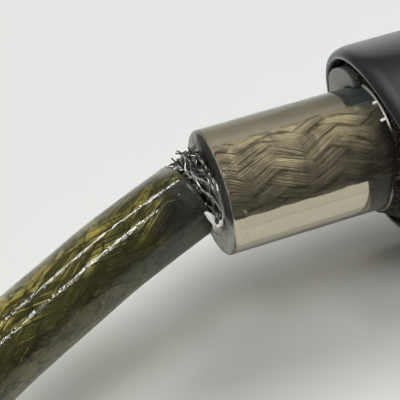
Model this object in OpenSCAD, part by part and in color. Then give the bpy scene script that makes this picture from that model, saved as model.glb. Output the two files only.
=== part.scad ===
// Mechanical cable shutter release: a spring-loaded plunger in a finger handle pushes a wire
// through a jacketed, braid-covered cable to a pin in a tapered tip.  The cable is cracked where
// it enters the clear strain relief tube, so that its braid shows there.
// Millimetres.  The handle lies along X with the thumb button at +X; Z = 0 is the table.

/* [Cable] */
// Outer diameter of the clear jacket
jacket_d = 3.6; // [3:0.1:3.9]
// Outer diameter of the wire braid
braid_d = 2.3; // [2.2:0.05:2.5]
// Outer diameter of the wound conduit inside the braid
conduit_d = 1.9; // [1.7:0.05:2]
// Bore of the conduit
conduit_bore = 1.2; // [1.1:0.05:1.3]
// Diameter of the wire that carries the push
wire_d = 0.9; // [0.7:0.05:1]

/* [Strain relief tube] */
// Outer diameter of the clear tube
relief_d = 5.8; // [5.4:0.1:6]
// Length of tube that stands out of the collar
relief_out = 8; // [6:0.5:12]
// Rounding of the tube's cut edges
relief_edge = 0.15; // [0.05:0.05:0.3]

/* [Collar and gland] */
// Outer diameter of the collar
collar_d = 9.5; // [9.3:0.1:10.5]
// Wall of the collar
collar_wall = 0.5; // [0.4:0.05:0.6]
// Length of the collar along its axis
collar_len = 18; // [15:1:24]
// Slant of the collar's mouth in degrees, longest at the top
mouth_slant = 9.75; // [0:0.25:12]
// Turn of the slant away from straight up, in degrees towards the back
mouth_turn = 23; // [0:1:45]
// Length of the rounding on the collar's lip
lip_round = 0.8; // [0.4:0.1:1]
// Gap between the gland's face and the collar's wall
gland_gap = 0.37; // [0.2:0.01:0.5]
// Length of the gland
gland_len = 5; // [4:0.5:6]
// Thickness of the gland's rear flange
gland_flange = 1.5; // [1:0.25:2]
// Width and thickness of the bright ring round the tube
seat_ring_w = 0.15; // [0.1:0.05:0.3]

/* [Handle] */
// Length of the ferrule that grips the conduit
ferrule_len = 8; // [7:0.5:9]
// Diameter of the ferrule's body
ferrule_d = 5.2; // [5:0.1:5.4]
// Outer diameter of the barrel under its grip sleeve
barrel_d = 7.8; // [7.4:0.1:8]
// Bore of the barrel's spring chamber
chamber_d = 5.5; // [5.45:0.05:5.8]
// Length of the grip sleeve
sleeve_len = 16.5; // [15:0.5:22]
// Wall of the grip sleeve
sleeve_wall = 0.75; // [0.6:0.05:0.8]
// Length of the barrel's shoulder between collar and sleeve
shoulder_len = 1.5; // [1:0.25:3]
// Diameter of the finger flange
flange_d = 17; // [16.6:0.2:20]
// Length of the finger flange's hub
flange_len = 3.9; // [3.5:0.1:5]
// Diameter of the barrel's rear end, which carries flange and neck
tail_d = 7; // [6.8:0.1:7.2]
// Outer diameter of the lock neck
neck_d = 8.6; // [8.4:0.1:9]
// Length of the lock neck
neck_len = 10; // [9.5:0.5:12]
// Thickness of the guide bush's flange
bush_flange = 0.8; // [0.5:0.1:1.2]

/* [Plunger] */
// Diameter of the plunger's stem
stem_d = 4; // [3.6:0.1:4]
// Travel of the plunger
travel = 9; // [7:0.5:9.5]
// Space left between button and guide bush when the plunger is pressed
press_gap = 1.8; // [0.5:0.1:3]
// Length of the piston
piston_len = 4; // [3:0.5:5]
// Diameter of the thumb button
button_d = 11; // [9:0.5:14]
// Thickness of the thumb button
button_t = 3; // [2.6:0.1:3.4]
// Depth of the thumb button's dished face
button_dish = 0.35; // [0.1:0.05:0.5]
// Wire of the return spring
spring_wire = 0.5; // [0.4:0.05:0.55]
// Mean diameter of the return spring
spring_d = 4.2; // [3.8:0.1:4.4]
// Turns of the return spring
spring_turns = 10; // [7:1:11]

/* [Lock] */
// Distance that the lock pad and its screw travel
lock_travel = 0.48; // [0.3:0.02:0.48]
// Diameter of the lock screw's shank
lock_shank_d = 2.6; // [2.4:0.1:2.8]
// Diameter of the lock screw's head
lock_head_d = 4.8; // [4:0.1:5.4]
// Height of the lock screw's head
lock_head_h = 2.1; // [1.6:0.1:2.2]

/* [Tip] */
// Diameter of the knurled grip at the tip
grip_d = 6.2; // [5.8:0.1:6.8]
// Length of the knurled grip
grip_len = 7; // [6:0.5:9]
// Length of the tapered cable sleeve
tip_sleeve_len = 10; // [8:0.5:14]
// Outer diameter of the tip's ferrule
tip_ferrule_d = 4.6; // [4.4:0.1:4.8]
// Outer diameter of the ferrule's neck inside the grip
tip_neck_d = 3.9; // [3.7:0.1:4]
// Large end of the tapered nipple
taper_big_d = 3.9; // [3.8:0.1:4]
// Small end of the tapered nipple
taper_small_d = 3.2; // [3:0.1:3.4]
// Length of the tapered nipple
taper_len = 6; // [5:0.5:7]
// Diameter of the nipple's pilot nose
nose_d = 2.2; // [2.1:0.05:2.4]
// Length of the nipple's pilot nose
nose_len = 1.5; // [1:0.25:2]
// Diameter of the release pin
pin_d = 1.5; // [1.4:0.05:1.6]

/* [Hidden] */
$fn = 96;

seat = 0.02;            // clearance of pieces that are fixed in each other
run = 0.05;             // radial clearance of pieces that slide or turn
cut = 0.1;              // how far a cutting tool runs past a face

// Stations along the handle's axis, from the free end of the strain relief tube
mouth_s = relief_out;
collar_s = mouth_s + collar_len;
ring_s = mouth_s - 0.22;
gland_s = mouth_s + gland_len;
ferrule_s = gland_s + seat;
ferrule_flange = 1.2;
barrel_s = ferrule_s + ferrule_flange + seat;
ferrule_end_s = ferrule_s + ferrule_len;
washer_t = 0.6;
washer_s = ferrule_end_s + seat;
chamber_s = washer_s + washer_t;
sleeve_s = collar_s + shoulder_len;
flange_s = sleeve_s + sleeve_len;
piston_stop_s = flange_s + 0.6;
neck_s = flange_s + flange_len + run;
tail_len = flange_len + 2.6;
neck_end_s = neck_s + neck_len;
bush_depth = 3;
lock_s = neck_s + 5;
button_s = neck_end_s + bush_flange + press_gap + travel;
handle_len = button_s + button_t;
piston_s = piston_stop_s - run - piston_len;
spring_s = chamber_s + run;
spring_len = piston_s - run - spring_s;

tube_end_x = -handle_len / 2;
axis_z = flange_d / 2;
collar_bore = collar_d - 2 * collar_wall;
gland_d = collar_bore - 2 * gland_gap;
sleeve_d = barrel_d + 2 * sleeve_wall;
braid_bore = conduit_d + 2 * seat;
wire_bore = wire_d + 2 * seat;
drive_start_s = travel + 2;
drive_end_s = piston_s + piston_len / 2 - run;

// Lock, measured up from the handle's axis
pad_h = 1.6;
pad_z = stem_d / 2 + lock_travel + seat;
shank_z = pad_z + pad_h + seat;
boss_top = neck_d / 2 + 0.8;
head_z = boss_top + lock_travel + 0.15;
head_fl = 16;

// Cable: the free stretch as points from the tube's end, then a flat coil on the table
cord_r = jacket_d / 2;
free_points = [[-0.9, 0.1, 8.5], [-3.1, -0.7, 8.3], [-5.3, -1.5, 8], [-7.4, -2.4, 7.7],
               [-9.5, -3.3, 7.4], [-11.6, -4.3, 7.1], [-13.6, -5.4, 6.75], [-15.6, -6.6, 6.4],
               [-17.9, -8.1, 6.15], [-20.2, -9.7, 6], [-22.5, -11.4, 5.95], [-24.7, -13.1, 5.95],
               [-26.7, -14.6, 5.85], [-28.5, -16, 5.65], [-30.1, -17.2, 5.1],
               [-31.6, -18.3, 4.45]];
coil_centre = [-45, -8.5];
coil_r = 16;            // radius where the coil begins
coil_pitch = 4.1;       // growth of the radius in one turn
coil_start = -55;       // bearing where the coil begins, seen from above
coil_sweep = 755;       // degrees wound clockwise
coil_lift = 1.3;        // height above the table's turns where the coil begins
coil_landing = 50;      // degrees over which it comes down
coil_step = 15;
coil_lead = 3.6;        // straight run before the coil
tip_run = 11.6;         // straight run from the coil to the tip
tip_z = grip_d / 2;
free_sides = 8;
coil_sides = 6;

function unit(v) = v / norm(v);
function at_tube_end(p) = [tube_end_x + p[0], p[1], p[2]];
function coil_radius(a) = coil_r + coil_pitch * a / 360;
function landing(a) = a < coil_landing ? coil_lift * pow(1 - a / coil_landing, 2) : 0;
function coil_point(a) =
    at_tube_end([coil_centre[0] + coil_radius(a) * cos(coil_start - a),
                 coil_centre[1] + coil_radius(a) * sin(coil_start - a),
                 cord_r + landing(a)]);
coil_heading = unit(coil_point(0) - coil_point(1));
coil_entry = coil_point(0) + coil_lead * coil_heading;
coil_exit = coil_point(coil_sweep);
tip_x = coil_exit[0] - tip_run;
tip_y = coil_exit[1];
// The last run climbs from the table to the height of the tip's axis
climb = [[0.2, 0.03], [0.34, 0.3], [0.48, 0.72], [0.6, 0.97], [0.7, 1], [1, 1]];
exit_run = [for (c = climb) [coil_exit[0] - c[0] * tip_run, tip_y,
                             cord_r + c[1] * (tip_z - cord_r)]];
free_route = concat([for (p = free_points) at_tube_end(p)], [coil_entry]);
coil_route = concat([coil_entry], [for (a = [0:coil_step:coil_sweep - 1]) coil_point(a)],
                    [coil_exit], exit_run);
cut_point = free_route[0];
cut_dir = unit(free_route[1] - free_route[0]);

// Direction of a path at point i, with given directions at its two ends
function heading(p, i, first, last) =
    i == 0 ? first : i == len(p) - 1 ? last : unit(unit(p[i + 1] - p[i]) + unit(p[i] - p[i - 1]));
function hoop(p, t, r, n) =
    let (e = unit(cross([0, 0, 1], t)), u = cross(t, e))
    [for (i = [0:n - 1]) p + r * (cos(360 * i / n - 90) * e + sin(360 * i / n - 90) * u)];

// A round tube swept along the points p
module sweep(p, r, n, first, last) {
    hoops = [for (i = [0:len(p) - 1]) hoop(p[i], heading(p, i, first, last), r, n)];
    end = (len(p) - 1) * n;
    walls = [for (i = [0:len(p) - 2], j = [0:n - 1], k = [0, 1])
             let (a = i * n + j, b = i * n + (j + 1) % n)
             k == 0 ? [a, a + n, b + n] : [a, b + n, b]];
    caps = [for (j = [1:n - 2], k = [0, 1]) k == 0 ? [0, j, j + 1] : [end, end + j + 1, end + j]];
    polyhedron([for (h = hoops) each h], concat(walls, caps));
}

// Least distance between the surfaces of a coiled tube's turns, on its points
function turn_gap(p, skip) =
    min([for (i = [0:len(p) - 1 - skip], j = [i + skip:len(p) - 1]) norm(p[i] - p[j])]) - 2 * cord_r;
function path_length(p, i = 1) = i == len(p) ? 0 : norm(p[i] - p[i - 1]) + path_length(p, i + 1);
echo(coil_turn_gap = turn_gap(coil_route, 12));
echo(cable_length = path_length(free_route) + path_length(coil_route));

// Places a piece at station s, its local Z running towards the thumb button
module on_axis(s) { translate([tube_end_x + s, 0, axis_z]) rotate([0, 90, 0]) children(); }
// Places a piece t from the cable's end, its local Z running out of the tip
module on_tip(t) { translate([tip_x - t, tip_y, tip_z]) rotate([0, -90, 0]) children(); }
// The frame of the slanted mouth: local Z runs into the collar
module in_mouth() {
    translate([tube_end_x + mouth_s, 0, axis_z])
        rotate([-mouth_turn, 0, 0]) rotate([0, 90 - mouth_slant, 0]) rotate([0, 0, mouth_turn])
            children();
}

// A tube of outer radius r_out and bore r_in
module pipe(r_out, r_in, h) {
    difference() {
        cylinder(r = r_out, h = h);
        translate([0, 0, -cut]) cylinder(r = r_in, h = h + 2 * cut);
    }
}

function arc(cx, cy, r, a0, a1, n = 8) =
    [for (i = [0:n]) let (a = a0 + (a1 - a0) * i / n) [cx + r * cos(a), cy + r * sin(a)]];

// Evenly spaced flutes cut along a round piece
module flutes(r, flute_r, count, z0, z1) {
    for (i = [0:count - 1])
        rotate([0, 0, 360 * (i + 0.5) / count]) translate([r + 0.35 * flute_r, 0, z0])
            cylinder(r = flute_r, h = z1 - z0);
}

module strain_relief_tube() {
    r = relief_d / 2;
    bore = braid_d / 2 + seat;
    e = relief_edge;
    h = gland_s;
    color([0.62, 0.58, 0.49, 0.6]) on_axis(0)
        rotate_extrude() polygon(concat([[bore, 0]], arc(r - e, e, e, -90, 0, 4),
                                        arc(r - e, h - e, e, 0, 90, 4), [[bore, h]]));
}

module seat_ring() {
    color([0.82, 0.7, 0.42]) on_axis(ring_s)
        pipe(relief_d / 2 + seat + seat_ring_w, relief_d / 2 + seat, seat_ring_w);
}

module gland_plug() {
    reach = gland_d;
    color([0.32, 0.33, 0.33]) difference() {
        union() {
            intersection() {
                on_axis(mouth_s - reach) cylinder(r = gland_d / 2, h = reach + gland_len);
                in_mouth() translate([-reach, -reach, 0])
                    cube([2 * reach, 2 * reach, 2 * reach]);
            }
            on_axis(gland_s - gland_flange) cylinder(r = collar_bore / 2 - seat, h = gland_flange);
        }
        on_axis(-cut) cylinder(r = relief_d / 2 + seat, h = gland_s + 2 * cut);
        on_axis(-cut) cylinder(r = relief_d / 2 + 2 * seat + seat_ring_w,
                               h = ring_s + seat_ring_w + seat + cut);
    }
}

module tail_collar() {
    r = collar_d / 2;
    edge = 0.45 * lip_round;
    blend_s = mouth_s + r * sin(mouth_slant) + lip_round + 0.3;
    lip = concat([[0, 0]], [for (a = [-90:15:0]) [r - edge + edge * cos(a), lip_round * (1 + sin(a))]],
                 [[0, lip_round]]);
    color([0.13, 0.13, 0.135]) difference() {
        union() {
            hull() {
                in_mouth() rotate_extrude($fn = 64) polygon(lip);
                on_axis(blend_s) cylinder(r = r - seat, h = seat, $fn = 64);
            }
            on_axis(blend_s - 5 * seat) cylinder(r = r, h = collar_s - blend_s + 5 * seat);
        }
        on_axis(0) cylinder(r = collar_bore / 2, h = collar_s + cut);
        // Two grip grooves near the barrel
        for (i = [0, 1])
            on_axis(collar_s - 3 + 1.2 * i) rotate_extrude() translate([r, 0]) circle(r = 0.25);
    }
}

module braid_sleeve() {
    color([0.55, 0.5, 0.36]) on_axis(seat)
        pipe(braid_d / 2, braid_bore / 2, gland_s + 2 - seat);
}

module conduit() {
    color([0.6, 0.6, 0.6]) on_axis(5 * seat) pipe(conduit_d / 2, conduit_bore / 2,
                                             ferrule_end_s - 6 * seat);
}

module conduit_ferrule() {
    color([0.8, 0.68, 0.38]) on_axis(ferrule_s) difference() {
        union() {
            cylinder(r = collar_bore / 2 - run, h = ferrule_flange);
            cylinder(r = ferrule_d / 2, h = ferrule_len);
        }
        translate([0, 0, -cut]) cylinder(r = conduit_d / 2 + seat, h = ferrule_len + 2 * cut);
        translate([0, 0, -cut]) cylinder(r = braid_d / 2 + seat, h = 2 + cut);
    }
}

module barrel() {
    color([0.72, 0.72, 0.74]) difference() {
        union() {
            on_axis(barrel_s) cylinder(r = collar_bore / 2 - run, h = collar_s - barrel_s);
            on_axis(collar_s + seat) cylinder(r = collar_d / 2, h = shoulder_len - 2 * seat);
            on_axis(collar_s - cut) cylinder(r = barrel_d / 2, h = flange_s - collar_s + cut);
            on_axis(flange_s - cut) cylinder(r = tail_d / 2, h = tail_len + cut);
        }
        on_axis(barrel_s - cut) cylinder(r = ferrule_d / 2 + seat, h = chamber_s - barrel_s + cut);
        on_axis(chamber_s - cut / 2) cylinder(r = chamber_d / 2, h = piston_stop_s - chamber_s + cut / 2);
        on_axis(piston_stop_s - cut) cylinder(r = stem_d / 2 + 4 * run, h = tail_len + 2 * cut);
    }
}

module grip_sleeve() {
    r = sleeve_d / 2;
    h = sleeve_len - 2 * seat;
    color([0.1, 0.1, 0.1]) on_axis(sleeve_s + seat) difference() {
        rotate_extrude() polygon([[barrel_d / 2 + seat, 0], [r - 0.4, 0], [r, 0.4], [r, h - 0.4],
                                  [r - 0.4, h], [barrel_d / 2 + seat, h]]);
        flutes(r, 0.35, 24, 1.4, h - 1.4);
    }
}

module finger_flange() {
    r = flange_d / 2;
    edge = 0.8;
    hub = tail_d / 2 + 1.1;
    back = flange_len - 0.4;
    sweep_n = 8;
    front = back - 2 * edge;
    dish = [for (i = [0:sweep_n - 1]) let (k = i / sweep_n)
            [hub + (r - edge - hub) * k, front * (2 * k - k * k)]];
    color([0.12, 0.12, 0.12]) on_axis(flange_s + seat) rotate_extrude() polygon(concat(
        [[tail_d / 2 + seat, 0]], dish, arc(r - edge, back - edge, edge, -90, 90, 8),
        [[hub + 0.4, back], [hub, flange_len], [tail_d / 2 + seat, flange_len]]));
}

module lock_neck() {
    r = neck_d / 2;
    hole = lock_shank_d / 2 + run;
    color([0.72, 0.72, 0.74]) difference() {
        union() {
            on_axis(neck_s) rotate_extrude() polygon([[0, 0], [r - 0.3, 0], [r, 0.3],
                [r, neck_len - 1], [r - 0.8, neck_len], [0, neck_len]]);
            translate([tube_end_x + lock_s, 0, axis_z]) cylinder(r = hole + 0.9, h = boss_top);
        }
        on_axis(neck_s - cut) cylinder(r = tail_d / 2 + seat, h = tail_len - flange_len + run + cut);
        on_axis(neck_s) cylinder(r = stem_d / 2 + 4 * run, h = neck_len + cut);
        on_axis(neck_end_s - bush_depth) cylinder(r = stem_d / 2 + 1, h = bush_depth + cut);
        translate([tube_end_x + lock_s, 0, axis_z]) cylinder(r = hole, h = boss_top + cut);
    }
}

module guide_bush() {
    color([0.8, 0.68, 0.38]) on_axis(neck_end_s - bush_depth + seat) difference() {
        union() {
            cylinder(r = stem_d / 2 + 1 - seat, h = bush_depth);
            translate([0, 0, bush_depth]) cylinder(r = stem_d / 2 + 1.6, h = bush_flange - seat);
        }
        translate([0, 0, -cut]) cylinder(r = stem_d / 2 + run, h = bush_depth + bush_flange + 2 * cut);
    }
}

module lock_screw() {
    r = lock_head_d / 2;
    color([0.75, 0.75, 0.77]) translate([tube_end_x + lock_s, 0, axis_z]) difference() {
        union() {
            translate([0, 0, shank_z]) cylinder(r = lock_shank_d / 2, h = head_z - shank_z + cut);
            translate([0, 0, head_z]) rotate_extrude() polygon([[0, 0], [r - 0.25, 0], [r, 0.25],
                [r, lock_head_h - 0.3], [r - 0.3, lock_head_h], [0, lock_head_h]]);
        }
        flutes(r, 0.3, head_fl, head_z - cut, head_z + lock_head_h + cut);
    }
}

module lock_pad() {
    color([0.8, 0.68, 0.38]) translate([tube_end_x + lock_s, 0, axis_z + pad_z])
        cylinder(r = lock_shank_d / 2 - run, h = pad_h);
}

module return_spring() {
    n = 8;
    rise = spring_len - spring_wire;
    points = [for (i = [0:n * spring_turns])
              [spring_d / 2 * cos(360 * i / n), spring_d / 2 * sin(360 * i / n),
               spring_wire / 2 + rise * i / (n * spring_turns)]];
    color([0.7, 0.7, 0.72]) on_axis(spring_s)
        sweep(points, spring_wire / 2, 6, unit(points[1] - points[0]),
              unit(points[len(points) - 1] - points[len(points) - 2]));
}

module spring_washer() {
    color([0.7, 0.7, 0.72]) on_axis(washer_s) pipe(ferrule_d / 2, wire_d / 2 + 3 * run, washer_t);
}

module piston() {
    spigot = piston_len / 2;
    color([0.8, 0.68, 0.38]) on_axis(piston_s) difference() {
        rotate_extrude() polygon([[0, 0], [chamber_d / 2 - run - 0.2, 0], [chamber_d / 2 - run, 0.2],
            [chamber_d / 2 - run, piston_len], [0, piston_len]]);
        translate([0, 0, -cut]) cylinder(r = wire_bore / 2, h = piston_len / 2 + cut);
        translate([0, 0, piston_len - spigot + cut])
            cylinder(r = stem_d * 0.3 + seat, h = spigot);
    }
}

module plunger_stem() {
    spigot = piston_len / 2 - 2 * cut;
    head = button_t - 1;
    stem_s = piston_s + piston_len + seat;
    color([0.78, 0.78, 0.8]) {
        on_axis(stem_s) cylinder(r = stem_d / 2, h = button_s - seat - stem_s);
        on_axis(stem_s - spigot) cylinder(r = stem_d * 0.3, h = spigot + cut);
        on_axis(button_s - cut) cylinder(r = stem_d * 0.325, h = head);
    }
}

module thumb_button() {
    r = button_d / 2;
    edge = 0.4;
    face = r - 1.5;
    n = 6;
    dish = [for (i = [0:n]) let (k = i / n) [face * (1 - k), button_t - button_dish * (1 - pow(1 - k, 2))]];
    color([0.1, 0.1, 0.1]) on_axis(button_s) difference() {
        rotate_extrude() polygon(concat([[0, 0], [r - 2.2, 0], [r - 1.6, 0.7]],
            arc(r - edge, 0.7 + edge, edge, -90, 0, 4), arc(r - edge, button_t - edge, edge, 0, 90, 4),
            dish));
        translate([0, 0, -cut]) cylinder(r = stem_d * 0.325 + seat, h = button_t - 1 + cut);
        flutes(r, 0.3, 30, 0.5, button_t + cut);
    }
}

module drive_wire() {
    color([0.7, 0.7, 0.72]) on_axis(drive_start_s)
        cylinder(r = wire_d / 2, h = drive_end_s - drive_start_s);
}

// The torn braid in the wedge between the cracked cable and the tube
module frayed_braid() {
    stub = 3;
    color([0.2, 0.2, 0.2]) difference() {
        on_axis(-stub) cylinder(r1 = braid_d / 2 + 0.9, r2 = braid_d / 2, h = stub - seat);
        translate(cut_point) rotate([0, acos(cut_dir[2]), atan2(cut_dir[1], cut_dir[0])])
            translate([0, 0, -seat]) cylinder(r = 2 * relief_d, h = 2 * stub);
    }
}

module cable_free() {
    color([0.42, 0.42, 0.2]) sweep(free_route, cord_r, free_sides, cut_dir, -coil_heading);
}

module cable_coil() {
    color([0.42, 0.42, 0.2]) sweep(coil_route, cord_r, coil_sides, -coil_heading, [-1, 0, 0]);
}

module tip_sleeve() {
    small = jacket_d / 2 + 0.2;
    big = tip_ferrule_d / 2 + 0.3;
    h = tip_sleeve_len - seat;
    color([0.1, 0.1, 0.1]) on_tip(seat) difference() {
        rotate_extrude() polygon([[0, 0], [small, 0], [small + 0.1, 1], [big, h - 2],
            [big, h - 0.3], [big - 0.3, h], [0, h]]);
        translate([0, 0, -cut]) cylinder(r = conduit_bore / 2, h = h + 2 * cut);
    }
}

tip_ferrule_t = tip_sleeve_len + seat;
tip_neck_t = tip_ferrule_t + 5;
pin_collar_t = tip_ferrule_t + 2.5;
pin_collar_len = 2;
nipple_t = tip_neck_t + grip_len + 2 * seat;
nipple_socket = 3.2;
taper_t = nipple_t + nipple_socket + 0.3;
nose_t = taper_t + taper_len;
tip_len = nose_t + nose_len;
neck_end_t = nipple_t + nipple_socket - 0.2;
clip_t = neck_end_t - 1.2;
clip_w = 0.5;
clip_depth = 0.2;
pin_bore = pin_d / 2 + run;

module tip_ferrule() {
    r = tip_neck_d / 2;
    color([0.78, 0.78, 0.8]) difference() {
        union() {
            on_tip(tip_ferrule_t) rotate_extrude() polygon([[0, 0], [tip_ferrule_d / 2, 0],
                [tip_ferrule_d / 2, 4.6], [tip_ferrule_d / 2 - 0.3, 4.9], [0, 4.9]]);
            on_tip(tip_ferrule_t + cut) cylinder(r = r, h = neck_end_t - tip_ferrule_t - cut);
        }
        on_tip(tip_ferrule_t - cut) cylinder(r = conduit_bore / 2, h = 3);
        on_tip(tip_ferrule_t + 2) cylinder(r = pin_d / 2 + 0.5, h = neck_end_t);
        on_tip(clip_t - run) difference() {
            cylinder(r = r + 1, h = clip_w + 2 * run);
            translate([0, 0, -cut]) cylinder(r = r - clip_depth, h = clip_w + 1);
        }
    }
}

module swivel_clip() {
    r = tip_neck_d / 2;
    color([0.7, 0.7, 0.72]) on_tip(clip_t) difference() {
        cylinder(r = r + clip_depth, h = clip_w);
        translate([0, 0, -cut]) cylinder(r = r - clip_depth + seat, h = clip_w + 2 * cut);
        translate([0, -0.5, -cut]) cube([2 * r, 1, clip_w + 2 * cut]);
    }
}

module tip_grip() {
    r = grip_d / 2;
    h = grip_len;
    color([0.75, 0.75, 0.77]) on_tip(tip_neck_t) difference() {
        rotate_extrude() polygon([[tip_neck_d / 2 + run, 0], [r - 0.4, 0], [r, 0.4], [r, h - 0.4],
                                  [r - 0.4, h], [tip_neck_d / 2 + run, h]]);
        flutes(r, 0.3, 24, 0.7, h - 0.7);
    }
}

module taper_nipple() {
    big = taper_big_d / 2;
    small = taper_small_d / 2;
    shell = tip_neck_d / 2 + 0.85;
    recess_r = tip_neck_d / 2 + clip_depth + run;
    a = nipple_socket;
    b = a + 0.3;
    color([0.75, 0.75, 0.77]) on_tip(nipple_t) difference() {
        rotate_extrude() polygon([[0, 0], [shell, 0], [shell, a - 0.4], [shell - 0.4, a],
            [small - 0.1, a], [small - 0.1, b], [big, b], [small, b + taper_len - 0.2],
            [small - 0.2, b + taper_len], [nose_d / 2, b + taper_len],
            [nose_d / 2, b + taper_len + nose_len], [0, b + taper_len + nose_len]]);
        translate([0, 0, -cut]) cylinder(r = tip_neck_d / 2 + run, h = a - 0.2 + run + cut);
        translate([0, 0, clip_t - nipple_t - 2 * run]) cylinder(r = recess_r, h = clip_w + 4 * run);
        translate([0, 0, -cut]) cylinder(r = pin_bore, h = tip_len);
    }
}

module release_pin() {
    start = pin_collar_t + pin_collar_len - cut;
    length = tip_len - 0.3 - start;
    r = pin_d / 2;
    color([0.8, 0.8, 0.82]) on_tip(start)
        rotate_extrude() polygon(concat([[0, 0], [r, 0]], arc(r - 0.25, length - 0.25, 0.25, 0, 90, 4),
                                        [[0, length]]));
}

module pin_collar() {
    color([0.8, 0.68, 0.38]) on_tip(pin_collar_t) cylinder(r = pin_d / 2 + 0.5 - run, h = pin_collar_len - 2 * cut);
}

strain_relief_tube();
seat_ring();
gland_plug();
tail_collar();
braid_sleeve();
conduit();
conduit_ferrule();
barrel();
grip_sleeve();
finger_flange();
lock_neck();
guide_bush();
lock_screw();
lock_pad();
return_spring();
spring_washer();
piston();
plunger_stem();
thumb_button();
drive_wire();
frayed_braid();
cable_free();
cable_coil();
tip_sleeve();
tip_ferrule();
swivel_clip();
tip_grip();
taper_nipple();
release_pin();
pin_collar();
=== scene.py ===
"""A mechanical cable release: finger handle with a sprung plunger and lock screw, clear strain
relief tube, jacketed cable over a wire braid, and a tapered tip with its push pin."""

import math
import random

import bpy
import numpy as np
from mathutils import Matrix, Vector


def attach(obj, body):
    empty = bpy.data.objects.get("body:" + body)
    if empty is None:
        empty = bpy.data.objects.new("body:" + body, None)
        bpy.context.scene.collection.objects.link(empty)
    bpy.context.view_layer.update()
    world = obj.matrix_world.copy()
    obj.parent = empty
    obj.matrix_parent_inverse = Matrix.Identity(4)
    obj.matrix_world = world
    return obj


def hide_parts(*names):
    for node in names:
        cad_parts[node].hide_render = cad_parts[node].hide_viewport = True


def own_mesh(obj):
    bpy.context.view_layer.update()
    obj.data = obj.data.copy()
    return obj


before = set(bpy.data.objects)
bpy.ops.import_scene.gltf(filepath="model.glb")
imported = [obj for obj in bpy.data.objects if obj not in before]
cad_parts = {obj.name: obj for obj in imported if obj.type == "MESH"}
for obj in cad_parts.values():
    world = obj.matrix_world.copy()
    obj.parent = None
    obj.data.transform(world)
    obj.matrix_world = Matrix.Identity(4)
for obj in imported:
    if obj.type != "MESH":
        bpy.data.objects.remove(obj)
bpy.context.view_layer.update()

MM = 0.001
TAU = 2 * math.pi
TUBE_END = np.array([-36.275, 0.0, 8.5])  # middle of the clear tube's free end, in mm

# ---- the cable's route, in mm
FREE_RUN = [
    (-0.9, 0.1, 8.5), (-3.1, -0.7, 8.3), (-5.3, -1.5, 8), (-7.4, -2.4, 7.7),
    (-9.5, -3.3, 7.4), (-11.6, -4.3, 7.1), (-13.6, -5.4, 6.75), (-15.6, -6.6, 6.4),
    (-17.9, -8.1, 6.15), (-20.2, -9.7, 6), (-22.5, -11.4, 5.95), (-24.7, -13.1, 5.95),
    (-26.7, -14.6, 5.85), (-28.5, -16, 5.65), (-30.1, -17.2, 5.1), (-31.6, -18.3, 4.45),
]
COIL_CENTRE = (-45.0, -8.5)
COIL_RADIUS, COIL_PITCH = 16.0, 4.1
COIL_START, COIL_SWEEP, COIL_STEP = -55, 755, 15
COIL_LIFT, COIL_LANDING, COIL_LEAD = 1.3, 50, 3.6
TIP_RUN, TIP_HEIGHT = 11.6, 3.1
CLIMB = [(0.2, 0.03), (0.34, 0.3), (0.48, 0.72), (0.6, 0.97), (0.7, 1), (1, 1)]
JACKET_R = 1.8
BRAID_R = 1.15
NEAR_RUN = 17.0  # length of cable whose braid is made wire by wire
TORN_BACK = 0.22  # how far the torn jacket ends behind the cable's own end
ROUTE_STEP = 0.3  # distance between the points of a route


def unit(v):
    return v / np.linalg.norm(v)


DAMP_SIDE = unit(np.array([0.47, -0.72, -0.5]))  # the lower front side, on which the cable is painted darker: painted shade


def coil_point(turned):
    radius = COIL_RADIUS + COIL_PITCH * turned / 360
    bearing = math.radians(COIL_START - turned)
    lift = COIL_LIFT * (1 - turned / COIL_LANDING) ** 2 if turned < COIL_LANDING else 0
    return np.array([
        TUBE_END[0] + COIL_CENTRE[0] + radius * math.cos(bearing),
        COIL_CENTRE[1] + radius * math.sin(bearing),
        JACKET_R + lift,
    ])


def cable_points():
    free = [np.array([TUBE_END[0] + x, y, z]) for x, y, z in FREE_RUN]
    entry = coil_point(0) + COIL_LEAD * unit(coil_point(0) - coil_point(1))
    coil = [coil_point(a) for a in range(0, COIL_SWEEP, COIL_STEP)] + [coil_point(COIL_SWEEP)]
    out = coil[-1]
    run = [
        np.array([out[0] - along * TIP_RUN, out[1], JACKET_R + up * (TIP_HEIGHT - JACKET_R)])
        for along, up in CLIMB
    ]
    return free + [entry] + coil + run


def smooth(points, step):
    """Points about step apart on a smooth curve through the given ones."""
    p = np.array(points, float)
    gaps = np.linalg.norm(np.diff(p, axis=0), axis=1)
    s = np.concatenate([[0], np.cumsum(gaps)])
    slope = np.empty_like(p)
    slope[1:-1] = (p[2:] - p[:-2]) / (s[2:] - s[:-2])[:, None]
    slope[0], slope[-1] = (p[1] - p[0]) / gaps[0], (p[-1] - p[-2]) / gaps[-1]
    t = np.linspace(0, s[-1], max(2, math.ceil(s[-1] / step) + 1))
    i = np.clip(np.searchsorted(s, t, "right") - 1, 0, len(gaps) - 1)
    h = gaps[i][:, None]
    u = ((t - s[i]) / gaps[i])[:, None]
    return (
        (2 * u**3 - 3 * u**2 + 1) * p[i]
        + (u**3 - 2 * u**2 + u) * h * slope[i]
        + (3 * u**2 - 2 * u**3) * p[i + 1]
        + (u**3 - u**2) * h * slope[i + 1]
    )


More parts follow.
